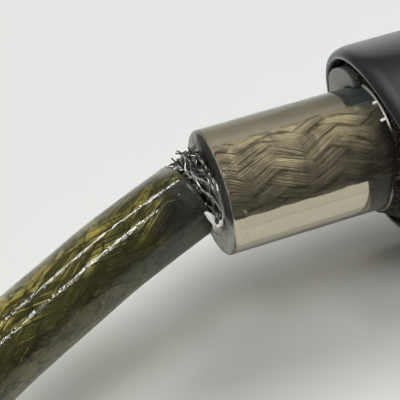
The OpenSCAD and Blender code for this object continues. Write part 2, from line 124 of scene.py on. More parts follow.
class Route:
    """A line of points with two crosswise directions that are carried along it untwisted."""

    def __init__(self, points, side=(0.0, 1.0, 0.0)):
        self.p = np.array(points, float)
        gaps = np.linalg.norm(np.diff(self.p, axis=0), axis=1)
        self.s = np.concatenate([[0], np.cumsum(gaps)])
        self.t = np.gradient(self.p, self.s, axis=0)
        self.t /= np.linalg.norm(self.t, axis=1)[:, None]
        self.n = np.empty_like(self.p)
        across = np.array(side, float)
        for k, t in enumerate(self.t):
            across = unit(across - t * (across @ t))
            self.n[k] = across
        self.b = np.cross(self.t, self.n)

    @property
    def length(self):
        return self.s[-1]

    def at(self, s):
        """Position, tangent and the two crosswise directions at the distances s."""
        place, *ways = (
            np.stack([np.interp(s, self.s, track[:, k]) for k in range(3)], -1)
            for track in (self.p, self.t, self.n, self.b)
        )
        return place, *(way / np.linalg.norm(way, axis=-1, keepdims=True) for way in ways)


CABLE = Route(smooth(cable_points(), ROUTE_STEP))
OFF_MIDDLE = 0.16  # how far the braid lies from the tube's middle, up and back
OFF_BEARING = math.radians(41)
OFF = OFF_MIDDLE * np.array([0, math.cos(OFF_BEARING), math.sin(OFF_BEARING)])
TUBE = Route(smooth(
    [TUBE_END + (x, 0, 0) + OFF * part for x, part in ((0, 1), (4, 1), (8, 1), (12, 0), (15, 0))],
    ROUTE_STEP,
))


# ---- camera
AZIMUTH, ELEVATION, DISTANCE = math.radians(-21.0), math.radians(50.6), 57.9
FOCAL_PX, FRAME_PX = 1300.0, 400.0
AIM_PX = (209.9 - FRAME_PX / 2, 193.6 - FRAME_PX / 2)  # the tube's end, from the frame's middle


def make_camera():
    back = Vector((
        math.sin(AZIMUTH) * math.cos(ELEVATION),
        -math.cos(AZIMUTH) * math.cos(ELEVATION),
        math.sin(ELEVATION),
    ))
    right = Vector((math.cos(AZIMUTH), math.sin(AZIMUTH), 0))
    up = back.cross(right)
    ray = -back + right * (AIM_PX[0] / FOCAL_PX) - up * (AIM_PX[1] / FOCAL_PX)
    lens = bpy.data.cameras.new("camera")
    lens.sensor_width = 36.0
    lens.lens = FOCAL_PX * lens.sensor_width / FRAME_PX
    lens.clip_start, lens.clip_end = 0.002, 60.0
    camera = bpy.data.objects.new("camera", lens)
    bpy.context.collection.objects.link(camera)
    turn = Matrix((right, up, back)).transposed().to_4x4()
    place = Vector(TUBE_END) - ray * DISTANCE
    camera.matrix_world = Matrix.Translation(place * MM) @ turn
    bpy.context.scene.camera = camera


make_camera()


# ---- materials
class Wire:
    """A node's output that can be added to, taken from and multiplied by numbers or its kind."""

    def __init__(self, finish, socket):
        self.finish, self.socket = finish, socket

    def sum_up(self, operation, a, b):
        return self.finish.node("ShaderNodeMath", {"operation": operation}, {0: a, 1: b})

    def __add__(self, other):
        return self.sum_up("ADD", self, other)

    def __radd__(self, other):
        return self.sum_up("ADD", other, self)

    def __sub__(self, other):
        return self.sum_up("SUBTRACT", self, other)

    def __rsub__(self, other):
        return self.sum_up("SUBTRACT", other, self)

    def __mul__(self, other):
        return self.sum_up("MULTIPLY", self, other)

    def __rmul__(self, other):
        return self.sum_up("MULTIPLY", other, self)

    def __pow__(self, other):
        return self.sum_up("POWER", self, other)


class Finish:
    """A material and the few ways in which its nodes are made."""

    def __init__(self, name):
        self.material = bpy.data.materials.new(name)
        self.material.use_nodes = True
        self.tree = self.material.node_tree
        self.tree.nodes.clear()
        self.output = self.tree.nodes.new("ShaderNodeOutputMaterial")

    def node(self, kind, settings=None, inputs=None, out=0):
        made = self.tree.nodes.new(kind)
        for key, value in (settings or {}).items():
            setattr(made, key, value)
        for key, value in (inputs or {}).items():
            socket = made.inputs[key]
            if isinstance(value, Wire):
                self.tree.links.new(value.socket, socket)
            else:
                socket.default_value = (*value, 1) if socket.type == "RGBA" else value
        return Wire(self, made.outputs[out])

    def place(self):
        return self.node("ShaderNodeTexCoord", out="Object")

    def attribute(self, name):
        return self.node("ShaderNodeAttribute", {"attribute_name": name}, out="Fac")

    def scaled(self, factors):
        return self.node("ShaderNodeMapping", {}, {"Vector": self.place(), "Scale": factors})

    def lengthwise(self, bearing, stretch):
        """Coordinates for a pattern that is drawn out along a bearing on the table."""
        return self.node(
            "ShaderNodeMapping", {"vector_type": "TEXTURE"},
            {"Vector": self.place(), "Scale": (stretch, 1, 1),
             "Rotation": (0, 0, math.radians(bearing))},
        )

    def noise(self, per_mm, detail=3.0, rough=0.5, vector=None, warp=0.0):
        return self.node(
            "ShaderNodeTexNoise", {},
            {"Vector": vector or self.place(), "Scale": per_mm / MM, "Detail": detail,
             "Roughness": rough, "Distortion": warp},
        )

    def spread(self, value, low, high, start=0.0, end=1.0):
        return self.node(
            "ShaderNodeMapRange", {"clamp": True},
            {0: value, 1: low, 2: high, 3: start, 4: end},
        )

    def thin_lines(self, pattern, width):
        """Lines where a pattern crosses its middle value."""
        off = pattern - 0.5
        return self.spread((off * off) ** 0.5, width, width * 0.2)

    def mix(self, factor, a, b, blend="MIX"):
        return self.node(
            "ShaderNodeMix", {"data_type": "RGBA", "blend_type": blend},
            {0: factor, 6: a, 7: b}, out=2,
        )

    def bump(self, height, distance_mm, strength=1.0):
        return self.node(
            "ShaderNodeBump", {},
            {"Height": height, "Distance": distance_mm * MM, "Strength": strength},
        )

    def principled(self, **sockets):
        return self.node(
            "ShaderNodeBsdfPrincipled", {},
            {key.replace("_", " "): value for key, value in sockets.items()},
        )

    def coated(self, amount, shader, film):
        """A shader with a film of another over it."""
        return self.node("ShaderNodeMixShader", {}, {0: amount, 1: shader, 2: film})

    def show(self, shader):
        self.tree.links.new(shader.socket, self.output.inputs["Surface"])
        return self.material

    def show_clear(self, shader, tint):
        """Shows a clear finish whose shadows are only tinted."""
        is_shadow = self.node("ShaderNodeLightPath", out="Is Shadow Ray")
        through = self.node("ShaderNodeBsdfTransparent", {}, {"Color": tint})
        return self.show(self.coated(is_shadow, shader, through))


def clear_tube_finish():
    """Clear plastic gone smoky, with a dark mark on its end face that is partly grime from the
    torn wires and partly their painted shadow.
    """
    f = Finish("clear_tube_plastic")
    cloud = f.noise(0.35, 2)
    ripple = f.bump(f.noise(0.9, 2) + f.noise(7, 2) * 0.08, 0.012, 0.6)
    # A dark mark on the end face: grime and the torn wires' painted shadow.
    soot_there = f.attribute("soot")
    on_end = f.spread(soot_there, 0, 0.2)
    smudge = on_end * f.spread(soot_there + f.noise(2.2, 4, 0.6) * 1.2 - 0.6, 0.14, 0.95)
    base = f.mix(cloud, (0.65, 0.595, 0.455), (0.57, 0.52, 0.39))
    ragged = f.noise(1.8, 4, 0.6) * 0.9 - 0.45
    base = f.mix(f.spread(f.attribute("cool") + ragged, 0.3, 0.7), base, (0.49, 0.59, 0.64))
    base = f.mix(f.attribute("brown"), base, (0.3, 0.25, 0.17))
    # Darker on the near side towards the gland: painted shade of the collar.
    base = f.mix(f.spread(f.attribute("dim") + ragged, 0.3, 0.75), base, (0.2, 0.19, 0.155))
    glass = f.principled(
        Base_Color=f.mix(smudge, base, (0.05, 0.05, 0.045)),
        Roughness=f.spread(on_end, 0, 1, 0.07, 0.35), IOR=1.5, Specular_Tint=(0.2, 0.2, 0.2),
        Transmission_Weight=0.92, Normal=ripple,
    )
    scuffed = f.principled(
        Base_Color=f.mix(f.noise(1.6, 3), (0.4, 0.405, 0.38), (0.62, 0.62, 0.58)),
        Roughness=0.6, Specular_IOR_Level=0.2,
    )
    # The dark mark's colour: grime and painted shadow.
    soot = f.principled(
        Base_Color=f.mix(f.noise(3, 3), (0.01, 0.01, 0.009), (0.065, 0.064, 0.053)),
        Roughness=0.9, Specular_IOR_Level=0.1,
    )
    haze = f.principled(Base_Color=(0.62, 0.585, 0.46), Roughness=0.4)
    specks = f.spread(f.noise(2.4, 2, 0.4), 0.6, 0.68) * f.attribute("specks")
    ended = f.coated(on_end * 0.68, glass, scuffed)
    body = f.coated(specks * 0.4, f.coated(smudge * 0.93, ended, soot), haze)
    return f.show_clear(body, (0.5, 0.47, 0.4))


def cable_jacket_finish():
    """Yellowed clear plastic: glossy above, scuffed and finely cracked below, and smoky or
    chalky where it was torn; drawn lighter on top and darker below: painted light and shade."""
    f = Finish("yellowed_jacket_plastic")
    cloud = f.spread(f.noise(0.5, 3), 0.35, 0.7)
    patch = f.spread(f.noise(0.9, 3, 0.6, warp=1.2), 0.4, 0.65)
    wrinkles = f.noise(5.5, 2)
    swells = f.noise(0.8, 2)
    side, along = f.attribute("side"), f.attribute("along")
    # side runs from -1 on the upper back to 1 on the lower front; colours that follow it are
    # drawn lighter on top and darker below: painted light and shade.
    low = f.spread(side, -0.7, -0.2)
    under = f.spread(side, 0.3, 0.6)
    torn = f.spread(along + cloud * 1.4 - low * 1.3, 2.6, 0.6)
    veins = f.spread(f.noise(1.5, 4, 0.6, f.lengthwise(16, 3.0), 1.2), 0.48, 0.6)
    clean = f.mix(cloud, (0.68, 0.65, 0.29), (0.52, 0.51, 0.24))
    beige = f.mix(veins, (0.57, 0.54, 0.31), (0.2, 0.19, 0.1))
    clean = f.mix(f.spread(side + patch * 0.2, 0.3, 0.75), clean, beige)
    cracks = f.thin_lines(f.noise(1.2, 3, 0.55, f.lengthwise(10, 2.5), 1.0), 0.045)
    cracks = cracks * f.spread(side, 0.2, 0.45, 0, 0.85)
    clean = f.mix(cracks, clean, (0.08, 0.08, 0.045))
    nick = (
        f.spread(along, 8.2, 8.4) * f.spread(along, 9.0, 8.8)
        * f.spread(side, -0.26, -0.2) * f.spread(side, -0.05, -0.12)
    )
    end = f.spread(along, 0.5, 0.35)
    rough = f.spread(side + cloud * 0.3, 0.1, 0.75, 0.06, 0.3) + nick * 0.14 + end * 0.4
    wrinkled = f.bump(wrinkles * 0.5 + swells, 0.027, 0.6)
    glass = f.principled(
        Base_Color=f.mix(torn, clean, f.mix(low, (0.62, 0.60, 0.50), (0.29, 0.29, 0.27))),
        Roughness=rough, IOR=1.55, Transmission_Weight=0.95, Normal=wrinkled,
    )
    chalk = f.spread(along + patch * 0.5, 1.6, 0.9) * f.spread(side, -0.62, -0.8)
    smoke_above = f.mix(f.spread(side, -0.5, -0.75), (0.085, 0.085, 0.076), (0.22, 0.21, 0.12))
    smoke_above = f.mix(chalk, smoke_above, (0.42, 0.41, 0.34))
    smoke_below = f.mix(veins, (0.155, 0.148, 0.062), (0.035, 0.035, 0.017))
    smoke_below = f.mix(f.spread(along, 5.2, 3.2) * 0.7, smoke_below, (0.035, 0.035, 0.031))
    smoke_below = f.mix(f.spread(along, 7, 12) * (1 - veins), smoke_below, (0.26, 0.24, 0.1))
    smoke = f.mix(under, smoke_above, smoke_below)
    film = f.principled(
        Base_Color=f.mix(cracks, smoke, (0.02, 0.022, 0.012)),
        Roughness=rough, IOR=1.55, Specular_Tint=(1.0, 0.96, 0.68), Normal=wrinkled,
    )
    at_end = f.spread(along + patch * 0.9, 2.1, 1.0) * f.spread(side, -0.62, -0.42)
    # A darker film over the lower front side: painted shade.
    below = f.spread(side + patch * 0.35 - veins * 0.3, 0.35, 1.0) * 0.6
    above = f.spread(side, -0.62, -0.9) * patch * 0.3 + chalk * 0.35
    amount = f.spread(at_end * 0.55 + below + above, 0, 1)
    return f.show_clear(f.coated(amount, glass, film), (0.5, 0.48, 0.28))


def braid_finish(name, light, dark, stain, dirt, metal, bloom, streaked):
    """Wire braid: a metal whose wires differ, with stains in patches and in thin streaks."""
    f = Finish(name)
    streaks = f.thin_lines(f.noise(1.1, 3, 0.55, f.lengthwise(37, 3.5), 0.8), 0.05) * streaked
    # Each wire's stored shade carries the braid's painted light and shade as well as its own
    # tone.
    own = f.attribute("shade")
    seams = f.node(
        "ShaderNodeMath", {"operation": "PINGPONG"}, {0: f.attribute("across") * 6, 1: 0.5}
    )
    patches = f.spread(f.noise(0.5, 4, 0.6, warp=1.2), 0.42, 0.6)
    pale = f.spread(f.noise(0.75, 3, 0.55, warp=0.6), 0.52, 0.68)
    spots = f.spread(f.noise(2.2, 2), 0.35, 0.75)
    colour = f.mix(own * f.spread(seams, 0.25, 0.5, 1, 0.1), dark, light)
    colour = f.mix(pale * own * bloom, colour, light)
    stained = f.spread(own, 0.02, 0.3) * f.spread(own, 0.9, 1.25, dirt, dirt * 0.3)
    colour = f.mix(patches * stained, colour, stain)
    colour = f.mix(spots * 0.35, colour, dark)
    colour = f.mix(streaks, colour, dark)
    return f.show(f.principled(
        Base_Color=colour, Metallic=metal, Roughness=f.spread(spots, 0, 1, 0.34, 0.55),
        Normal=f.bump(f.noise(9, 2), 0.01, 0.4),
    ))


def wound_finish(name, colour, pitch_mm):
    """Close-wound steel, read along the piece's own length."""
    f = Finish(name)
    along = f.attribute("along")
    turn = f.node("ShaderNodeMath", {"operation": "PINGPONG"}, {0: along, 1: pitch_mm / 2})
    groove = f.spread(turn, 0, pitch_mm / 2)
    stain = f.spread(f.noise(0.8, 3), 0.4, 0.7)
    dark = tuple(c * 0.45 for c in colour)
    return f.show(f.principled(
        Base_Color=f.mix(stain * 0.6, colour, dark), Metallic=0.9,
        Roughness=f.spread(stain, 0, 1, 0.32, 0.5),
        Normal=f.bump(groove ** 0.5, pitch_mm / 3),
    ))


def moulded_finish(name, colour, rough, grain_mm=0.01, dust=0.15, worn=0.0):
    """Moulded plastic with a fine grain and a little dust."""
    f = Finish(name)
    grain = f.noise(6, 3, 0.6)
    cloud = f.spread(f.noise(0.25, 3), 0.35, 0.7)
    paler = tuple(min(1, c * 1.5 + 0.012) for c in colour)
    base = f.mix(cloud * (0.4 + worn), colour, paler)
    base = f.mix(f.spread(grain, 0.66, 0.78) * dust, base, (0.45, 0.45, 0.42))
    return f.show(f.principled(
        Base_Color=base,
        Roughness=f.spread(grain * 0.4 + cloud * 0.6, 0.2, 0.8, rough - 0.05, rough + 0.08),
        Normal=f.bump(grain, grain_mm, 0.5),
    ))


def collar_finish():
    """Black plastic with dust specks; lighter where it is seen edge on, a painted sheen; bands of
    painted shade and highlight on the lip, and a painted highlight along the mouth's rim.
    """
    f = Finish("collar_plastic")
    grain = f.noise(4, 2)
    cloud = f.spread(f.noise(0.3, 3), 0.35, 0.7)
    specks = f.spread(f.noise(7, 2, 0.7), 0.62, 0.72)
    edge_on = f.node("ShaderNodeLayerWeight", {}, {"Blend": 0.5}, out="Facing")
    base = f.mix(cloud, (0.0108, 0.0122, 0.0121), (0.0175, 0.0193, 0.019))
    base = f.mix(specks * 0.2, base, (0.12, 0.12, 0.11))
    # Lighter where the surface is seen edge on: a painted sheen.
    base = f.mix(f.spread(edge_on + cloud * 0.08, 0.42, 1.02), base, (0.3, 0.31, 0.305))
    # A band of painted shade on the lip near the mouth, drawn rougher too.
    hollow = f.attribute("hollow")
    base = f.mix(hollow, base, (0.006, 0.007, 0.007))
    # A band of painted highlight along the lip, broken up by noise.
    crest = f.attribute("crest") * f.spread(f.noise(1, 3), 0.2, 0.7, 0.4, 1)
    base = f.mix(crest, base, (0.1, 0.105, 0.1))
    # A painted highlight along the mouth's inner edge.
    base = f.mix(f.attribute("rim"), base, (0.38, 0.44, 0.46))
    return f.show(f.principled(
        Base_Color=base,
        Roughness=f.spread(cloud, 0, 1, 0.42, 0.52) + hollow * 0.35,
        Normal=f.bump(grain, 0.004, 0.35),
    ))


def turned_metal_finish(name, colour, rough, tarnish):
    """Metal turned on a lathe: fine rings round X, and a thin tarnish."""
    f = Finish(name)
    rings = f.noise(1, 2, vector=f.scaled((9, 0.5, 0.5)))
    film = f.spread(f.noise(0.2, 4, 0.6), 0.4, 0.72)
    spots = f.spread(f.noise(1.5, 3), 0.62, 0.7)
    base = f.mix(film * 0.6, colour, tarnish)
    base = f.mix(spots * 0.5, base, tuple(c * 0.4 for c in tarnish))
    return f.show(f.principled(
        Base_Color=base, Metallic=1.0,
        Roughness=f.spread(rings * 0.5 + film * 0.5, 0.25, 0.75, rough - 0.05, rough + 0.12),
        Normal=f.bump(rings, 0.006, 0.4),
    ))


def enamel_finish():
    """Black enamel over brass, worn through along the flange's rim."""
    f = Finish("worn_black_enamel")
    grain = f.noise(1.4, 4, 0.65)
    y, z = (f.node("ShaderNodeSeparateXYZ", {}, {0: f.place()}, out=axis) for axis in "YZ")
    z = z - TUBE_END[2] * MM
    radius = (y * y + z * z) ** 0.5
    worn = f.spread(radius + grain * 0.25 * MM, 8.5 * MM, 8.58 * MM)
    return f.show(f.principled(
        Base_Color=f.mix(worn, (0.02, 0.02, 0.021), (0.62, 0.47, 0.22)),
        Metallic=worn, Roughness=f.spread(grain, 0.3, 0.7, 0.2, 0.34),
        Normal=f.bump(grain, 0.01, 0.3),
    ))


def gland_finish():
    f = Finish("gland_rubber")
    grain = f.noise(5, 3, 0.6)
    specks = f.spread(f.noise(9, 2, 0.6), 0.6, 0.7)
    base = f.mix(f.spread(f.noise(0.5, 2), 0.3, 0.7), (0.295, 0.3, 0.295), (0.345, 0.345, 0.335))
    base = f.mix(specks * 0.4, base, (0.42, 0.42, 0.39))
    # Off the lit face the gland is drawn dark with specks, and its bore dark blue-grey: painted
    # shade.
    rust = f.spread(f.noise(8, 3, 0.7), 0.51, 0.63)
    rust = f.mix(rust, (0.002, 0.002, 0.002), (0.11, 0.086, 0.066))
    lit = f.attribute("lit")
    sunk = f.mix(f.spread(lit, 0, -1), rust, (0.02, 0.04, 0.065))
    base = f.mix(f.spread(lit, 0, 1), sunk, base)
    return f.show(f.principled(
        Base_Color=base, Roughness=f.spread(grain, 0.3, 0.7, 0.55, 0.7), Specular_IOR_Level=0.12,
        Normal=f.bump(grain, 0.012, 0.5),
    ))


def seat_finish():
    """A thin gilt ring, bright where a painted highlight falls on it and dark brown elsewhere."""
    f = Finish("seat_gold")
    rubbed = f.spread(f.attribute("lit") + f.noise(2, 2) * 0.3, 0.2, 1.1)
    return f.show(f.principled(
        Base_Color=f.mix(rubbed, (0.03, 0.023, 0.016), (0.84, 0.8, 0.68)),
        Metallic=0.6, Roughness=0.35,
    ))


def torn_wire_finish():
    f = Finish("torn_wires")
    own = f.attribute("shade")
    return f.show(f.principled(
        Base_Color=f.mix(own, (0.01, 0.01, 0.012), (0.9, 0.885, 0.83)), Metallic=0.72,
        Roughness=f.spread(f.noise(6, 2), 0.3, 0.7, 0.14, 0.3),
        Normal=f.bump(f.noise(12, 2), 0.004, 0.4),
    ))


def flake_finish():
    """White, and beige with dark specks below its fold: painted shade with specks."""
    f = Finish("torn_flake")
    cloud = f.noise(3, 3)
    white = f.mix(f.spread(cloud, 0.45, 0.8), (0.98, 0.975, 0.94), (0.6, 0.58, 0.5))
    dirty = f.mix(f.spread(f.noise(7, 3, 0.6), 0.4, 0.6), (0.5, 0.48, 0.4), (0.22, 0.21, 0.17))
    return f.show(f.principled(
        Base_Color=f.mix(f.spread(f.attribute("folded"), 0.3, 0.55), white, dirty),
        Roughness=0.3, Normal=f.bump(cloud, 0.05, 0.5),
    ))


def burr_finish():
    f = Finish("bright_burr")
    # The burrs glow a little by emission: a painted glint.
    return f.show(f.principled(
        Base_Color=(0.98, 0.98, 0.96), Metallic=0.35, Roughness=0.18, Coat_Weight=1.0,
        Emission_Color=(1, 1, 1), Emission_Strength=0.45, Normal=f.bump(f.noise(8, 2), 0.02, 0.5),
    ))


def floor_finish():
    f = Finish("pale_table")
    cloud = f.noise(0.06, 4, 0.6)
    return f.show(f.principled(
        Base_Color=f.mix(cloud, (0.795, 0.812, 0.788), (0.825, 0.84, 0.818)), Roughness=0.55,
        Normal=f.bump(f.noise(0.5, 4, 0.6), 0.03, 0.25),
    ))


CLEAR_TUBE = clear_tube_finish()
JACKET = cable_jacket_finish()
TUBE_BRAID = braid_finish(
    "tube_braid", (0.88, 0.81, 0.64), (0.018, 0.017, 0.014), (0.19, 0.178, 0.142),
    dirt=0.6, metal=0.4, bloom=0.75, streaked=0.0,
)
CABLE_BRAID = braid_finish(
    "cable_braid", (0.84, 0.745, 0.4), (0.012, 0.018, 0.007), (0.028, 0.04, 0.017),
    dirt=0.9, metal=0.75, bloom=0.2, streaked=1.0,
)
CONDUIT_STEEL = wound_finish("conduit_steel", (0.5, 0.49, 0.46), 0.34)
COLLAR_BLACK = collar_finish()
GLAND = gland_finish()
BRASS = turned_metal_finish("turned_brass", (0.86, 0.66, 0.32), 0.24, (0.5, 0.36, 0.16))
DARK_STEEL = moulded_finish("dark_steel", (0.012, 0.012, 0.013), 0.35, 0.02, 0.1)
SEAT_GOLD = seat_finish()
CHROME = turned_metal_finish("satin_chrome", (0.78, 0.78, 0.79), 0.2, (0.55, 0.54, 0.52))
STEEL = turned_metal_finish("ground_steel", (0.66, 0.66, 0.67), 0.22, (0.45, 0.44, 0.42))
GRIP_BLACK = moulded_finish("grip_plastic", (0.02, 0.02, 0.021), 0.42, 0.015, 0.3)
BUTTON_BLACK = moulded_finish("button_plastic", (0.018, 0.018, 0.019), 0.25, 0.006, 0.1, 0.2)
TIP_BLACK = moulded_finish("tip_plastic", (0.024, 0.024, 0.025), 0.45, 0.015, 0.25)
ENAMEL = enamel_finish()
TORN_WIRE = torn_wire_finish()
FLAKE = flake_finish()
BURR = burr_finish()

NODE_FINISHES = {
    "gland_plug": GLAND, "seat_ring": BRASS, "conduit": DARK_STEEL, "conduit_ferrule": BRASS,
    "barrel": CHROME, "grip_sleeve": GRIP_BLACK, "finger_flange": ENAMEL, "lock_neck": CHROME,
    "guide_bush": BRASS, "lock_screw": CHROME, "lock_pad": BRASS, "spring_washer": STEEL,
    "piston": BRASS, "plunger_stem": STEEL, "thumb_button": BUTTON_BLACK, "drive_wire": STEEL,
    "tip_sleeve": TIP_BLACK, "tip_ferrule": CHROME, "swivel_clip": STEEL, "tip_grip": CHROME,
    "taper_nipple": CHROME, "release_pin": STEEL, "pin_collar": BRASS,
}
for node, finish in NODE_FINISHES.items():
    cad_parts[node].material_slots[0].material = finish


# ---- making meshes
ROUND_SIDES = 192  # sides of a round piece that is seen near by
PIPE_EDGE = 0.06  # how far a pipe's ends are bevelled


def new_object(name, mesh, finish):
    made = bpy.data.objects.new(name, mesh)
    bpy.context.collection.objects.link(made)
    mesh.materials.clear()
    mesh.materials.append(finish)
    return made


def outward(points, faces):
    """The faces, all turned over if they look into the solid."""
    p = np.asarray(points, float)
    total = 0.0
    for count in {len(f) for f in faces}:
        corners = p[np.array([f for f in faces if len(f) == count])]
        for k in range(1, count - 1):
            total += np.einsum(
                "ij,ij->", corners[:, 0], np.cross(corners[:, k], corners[:, k + 1])
            )
    return faces if total > 0 else [f[::-1] for f in faces]


def store(mesh, key, numbers):
    """Keeps one number for each point of a mesh, for its material to read."""
    kept = mesh.attributes.new(key, "FLOAT", "POINT")
    kept.data.foreach_set("value", np.asarray(numbers, np.float32))


def link_up(tree, *links):
    """Links nodes; each link is the giver, its output, the taker and its input."""
    for giver, out, taker, into in links:
        tree.links.new(giver.outputs[out], taker.inputs[into])


def shell(name, points, faces, finish, **values):
    """A mesh from points in mm, smooth-shaded, with the given numbers stored at its points."""
    mesh = bpy.data.meshes.new(name)
    mesh.from_pydata((np.asarray(points) * MM).tolist(), [], outward(points, faces))
    mesh.shade_smooth()
    for key, numbers in values.items():
        store(mesh, key, numbers)
    mesh.update()
    return new_object(name, mesh, finish)


def round_angles(sides=ROUND_SIDES):
    return np.linspace(0, TAU, sides, endpoint=False)


def ease(value, start, end):
    """A smooth step from 0 at start to 1 at end."""
    t = np.clip((value - start) / (end - start), 0, 1)
    return t * t * (3 - 2 * t)


def bell(value, middle, width):
    """1 at the middle, and next to nothing two widths away from it."""
    return np.exp(-(((value - middle) / width) ** 2))


def hoop_faces(rings, sides, closed):
    """Faces between rings of points, each with that many sides; closed joins last to first."""
    faces = []
    for i in range(rings if closed else rings - 1):
        a, b = i * sides, (i + 1) % rings * sides
        faces += [(a + j, a + (j + 1) % sides, b + (j + 1) % sides, b + j) for j in range(sides)]
    return faces


def turned(name, rings, finish, sides=ROUND_SIDES, **values):
    """A closed ring round the handle's axis. Each of rings is (s, r), from the tube's end, as
    numbers or as one number per angle; they go round the section."""
    angles = round_angles(sides)
    points = np.concatenate([
        np.stack([np.broadcast_to(s, sides), r * np.cos(angles), r * np.sin(angles)], -1)
        for s, r in rings
    ]) + TUBE_END
    return shell(name, points, hoop_faces(len(rings), sides, True), finish, **values)


def pipe_along(name, route, stops, outer, inner, sides, finish):
    """A pipe along a route at the distances stops: outer wall, end faces and bore."""
    centre, _, n, b = route.at(stops)
    angles = round_angles(sides)[None, :, None]
    spoke = n[:, None] * np.cos(angles) + b[:, None] * np.sin(angles)
    reach = np.full(len(stops), outer)
    reach[[0, -1]] = outer - PIPE_EDGE
    walls = centre[:, None] + spoke * reach[:, None, None]
    bore = (centre[:, None] + spoke * inner)[::-1]
    points = np.concatenate([walls.reshape(-1, 3), bore.reshape(-1, 3)])
    faces = hoop_faces(2 * len(stops), sides, True)
    along = np.concatenate([np.repeat(stops, sides), np.repeat(stops[::-1], sides)])
    side = np.concatenate([(spoke @ DAMP_SIDE).ravel(), (spoke[::-1] @ DAMP_SIDE).ravel()])
    return shell(name, points, faces, finish, along=along, side=side)


def sweep_tree():
    """Geometry Nodes that sweep a round section along every chain of edges."""
    tree = bpy.data.node_groups.new("wire_sweep", "GeometryNodeTree")
    for label, way, kind in (
        ("Geometry", "INPUT", "Geometry"), ("Wire Radius", "INPUT", "Float"),
        ("Sides", "INPUT", "Int"), ("Finish", "INPUT", "Material"),
        ("Geometry", "OUTPUT", "Geometry"),
    ):
        tree.interface.new_socket(label, in_out=way, socket_type="NodeSocket" + kind)
    new = tree.nodes.new
    start, end = new("NodeGroupInput"), new("NodeGroupOutput")
    curve, section = new("GeometryNodeMeshToCurve"), new("GeometryNodeCurvePrimitiveCircle")
    girth, radius = new("GeometryNodeInputNamedAttribute"), new("GeometryNodeSetCurveRadius")
    solid, smooth_on = new("GeometryNodeCurveToMesh"), new("GeometryNodeSetShadeSmooth")
    real, paint = new("GeometryNodeRealizeInstances"), new("GeometryNodeSetMaterial")
    girth.data_type = "FLOAT"
    girth.inputs["Name"].default_value = "girth"
    solid.inputs["Fill Caps"].default_value = True
    link_up(
        tree,
        (start, "Geometry", curve, "Mesh"), (curve, "Curve", radius, "Curve"),
        (girth, "Attribute", radius, "Radius"), (radius, "Curve", solid, "Curve"),
        (start, "Sides", section, "Resolution"), (start, "Wire Radius", section, "Radius"),
        (section, "Curve", solid, "Profile Curve"), (solid, "Mesh", smooth_on, "Geometry"),
        (smooth_on, "Geometry", real, "Geometry"), (real, "Geometry", paint, "Geometry"),
        (start, "Finish", paint, "Material"), (paint, "Geometry", end, "Geometry"),
    )
    return tree


SWEEP = sweep_tree()


def settle(made, tree, **inputs):
    """Runs a Geometry Nodes tree on an object and keeps the result as its plain mesh."""
    modifier = made.modifiers.new("nodes", "NODES")
    modifier.node_group = tree
    names = {
        item.name: item.identifier
        for item in tree.interface.items_tree if item.in_out == "INPUT"
    }
    for key, value in inputs.items():
        modifier[names[key.replace("_", " ")]] = value
    graph = bpy.context.evaluated_depsgraph_get()
    result = bpy.data.meshes.new_from_object(made.evaluated_get(graph))
    made.modifiers.clear()
    old, made.data = made.data, result
    bpy.data.meshes.remove(old)
    return made


def swept(name, lines, radius, sides, finish, shades=None, girths=None):
    """Round wires along lines of points in mm, as one mesh."""
    mesh = bpy.data.meshes.new(name)
    points = np.concatenate(lines) * MM
    counts = np.array([len(line) for line in lines])
    last = np.cumsum(counts) - 1
    chain = np.setdiff1d(np.arange(len(points)), last)
    mesh.from_pydata(points.tolist(), np.stack([chain, chain + 1], -1).tolist(), [])
    for key, numbers in (("shade", shades), ("girth", girths)):
        numbers = np.ones(len(lines)) if numbers is None else np.asarray(numbers, float)
        if len(numbers) == len(lines):
            numbers = np.repeat(numbers, counts)
        store(mesh, key, numbers)
    made = new_object(name, mesh, finish)
    settle(made, SWEEP, Wire_Radius=radius * MM, Sides=sides, Finish=finish)
    made.data.materials.clear()
    made.data.materials.append(finish)
    return made


# ---- the wire braid
PLAITS = 12  # plaits each way round
WIRES = 6  # wires in a plait
WIRE_R, WIRE_SIDES = 0.0425, 5
PLAIT_FILL = 0.94  # share of its place that a plait fills
TUBE_LAY, CABLE_LAY = 18.8, 25.0  # length in which a plait goes once round
MID_R, LIFT = 1.062, 0.045  # the plaits' middle radius, and how far they rise and dip
ASTRAY, WANDER = 0.12, 0.05  # how far plaits and single wires stray, in widths of a plait
BRIGHTEST = 0.85  # shade of the cleanest plait
CLEANER_SHARE, CLEANER_BY = 0.12, 0.45  # wires that are darkened less, and the part of the darkening they take
TUBE_LOW = np.array([0.0, -0.79, -0.61])  # the lower side, on which the tube's braid is painted darker: painted shade


def plait_lift(hand, own, crossed):
    """Over two and under two: how far out a plait lies where it meets the others."""
    x = (crossed - own) if hand > 0 else (own - crossed)
    return hand * np.clip(1.6 * np.cos(TAU * (x - 0.5) / 4), -1, 1)


def damp(spokes, along):
    """How much darker the braid is drawn: painted shade along its lower front side, a dark band
    along its middle and dark blots on its top near the cut, and darker where it was torn; a
    negative amount, painted light, on its top side further along.
    """
    low = spokes @ DAMP_SIDE
    # Painted shade along the lower front side.
    side = bell(low, 0.3, 0.4) * (1 - 0.15 * ease(along, 5, 7))
    torn = (1 - ease(along, 1.4, 3.8)) * ease(low, -0.75, -0.3)
    deep = bell(low, 0.05, 0.3) * (1 - ease(along, 4.4, 5.6))
    blot = 0.55 * (1 - ease(along, 4, 6)) * ease(low, -0.8, -0.45)
    # Painted light: the top side is drawn lighter further along.
    pale = (0.7 * ease(along, 5, 7) + 0.5 * ease(along, 7, 10)) * (1 - ease(low, -0.35, 0))
    return np.maximum(0.9 * np.maximum(np.maximum(side, deep), torn), blot) - pale


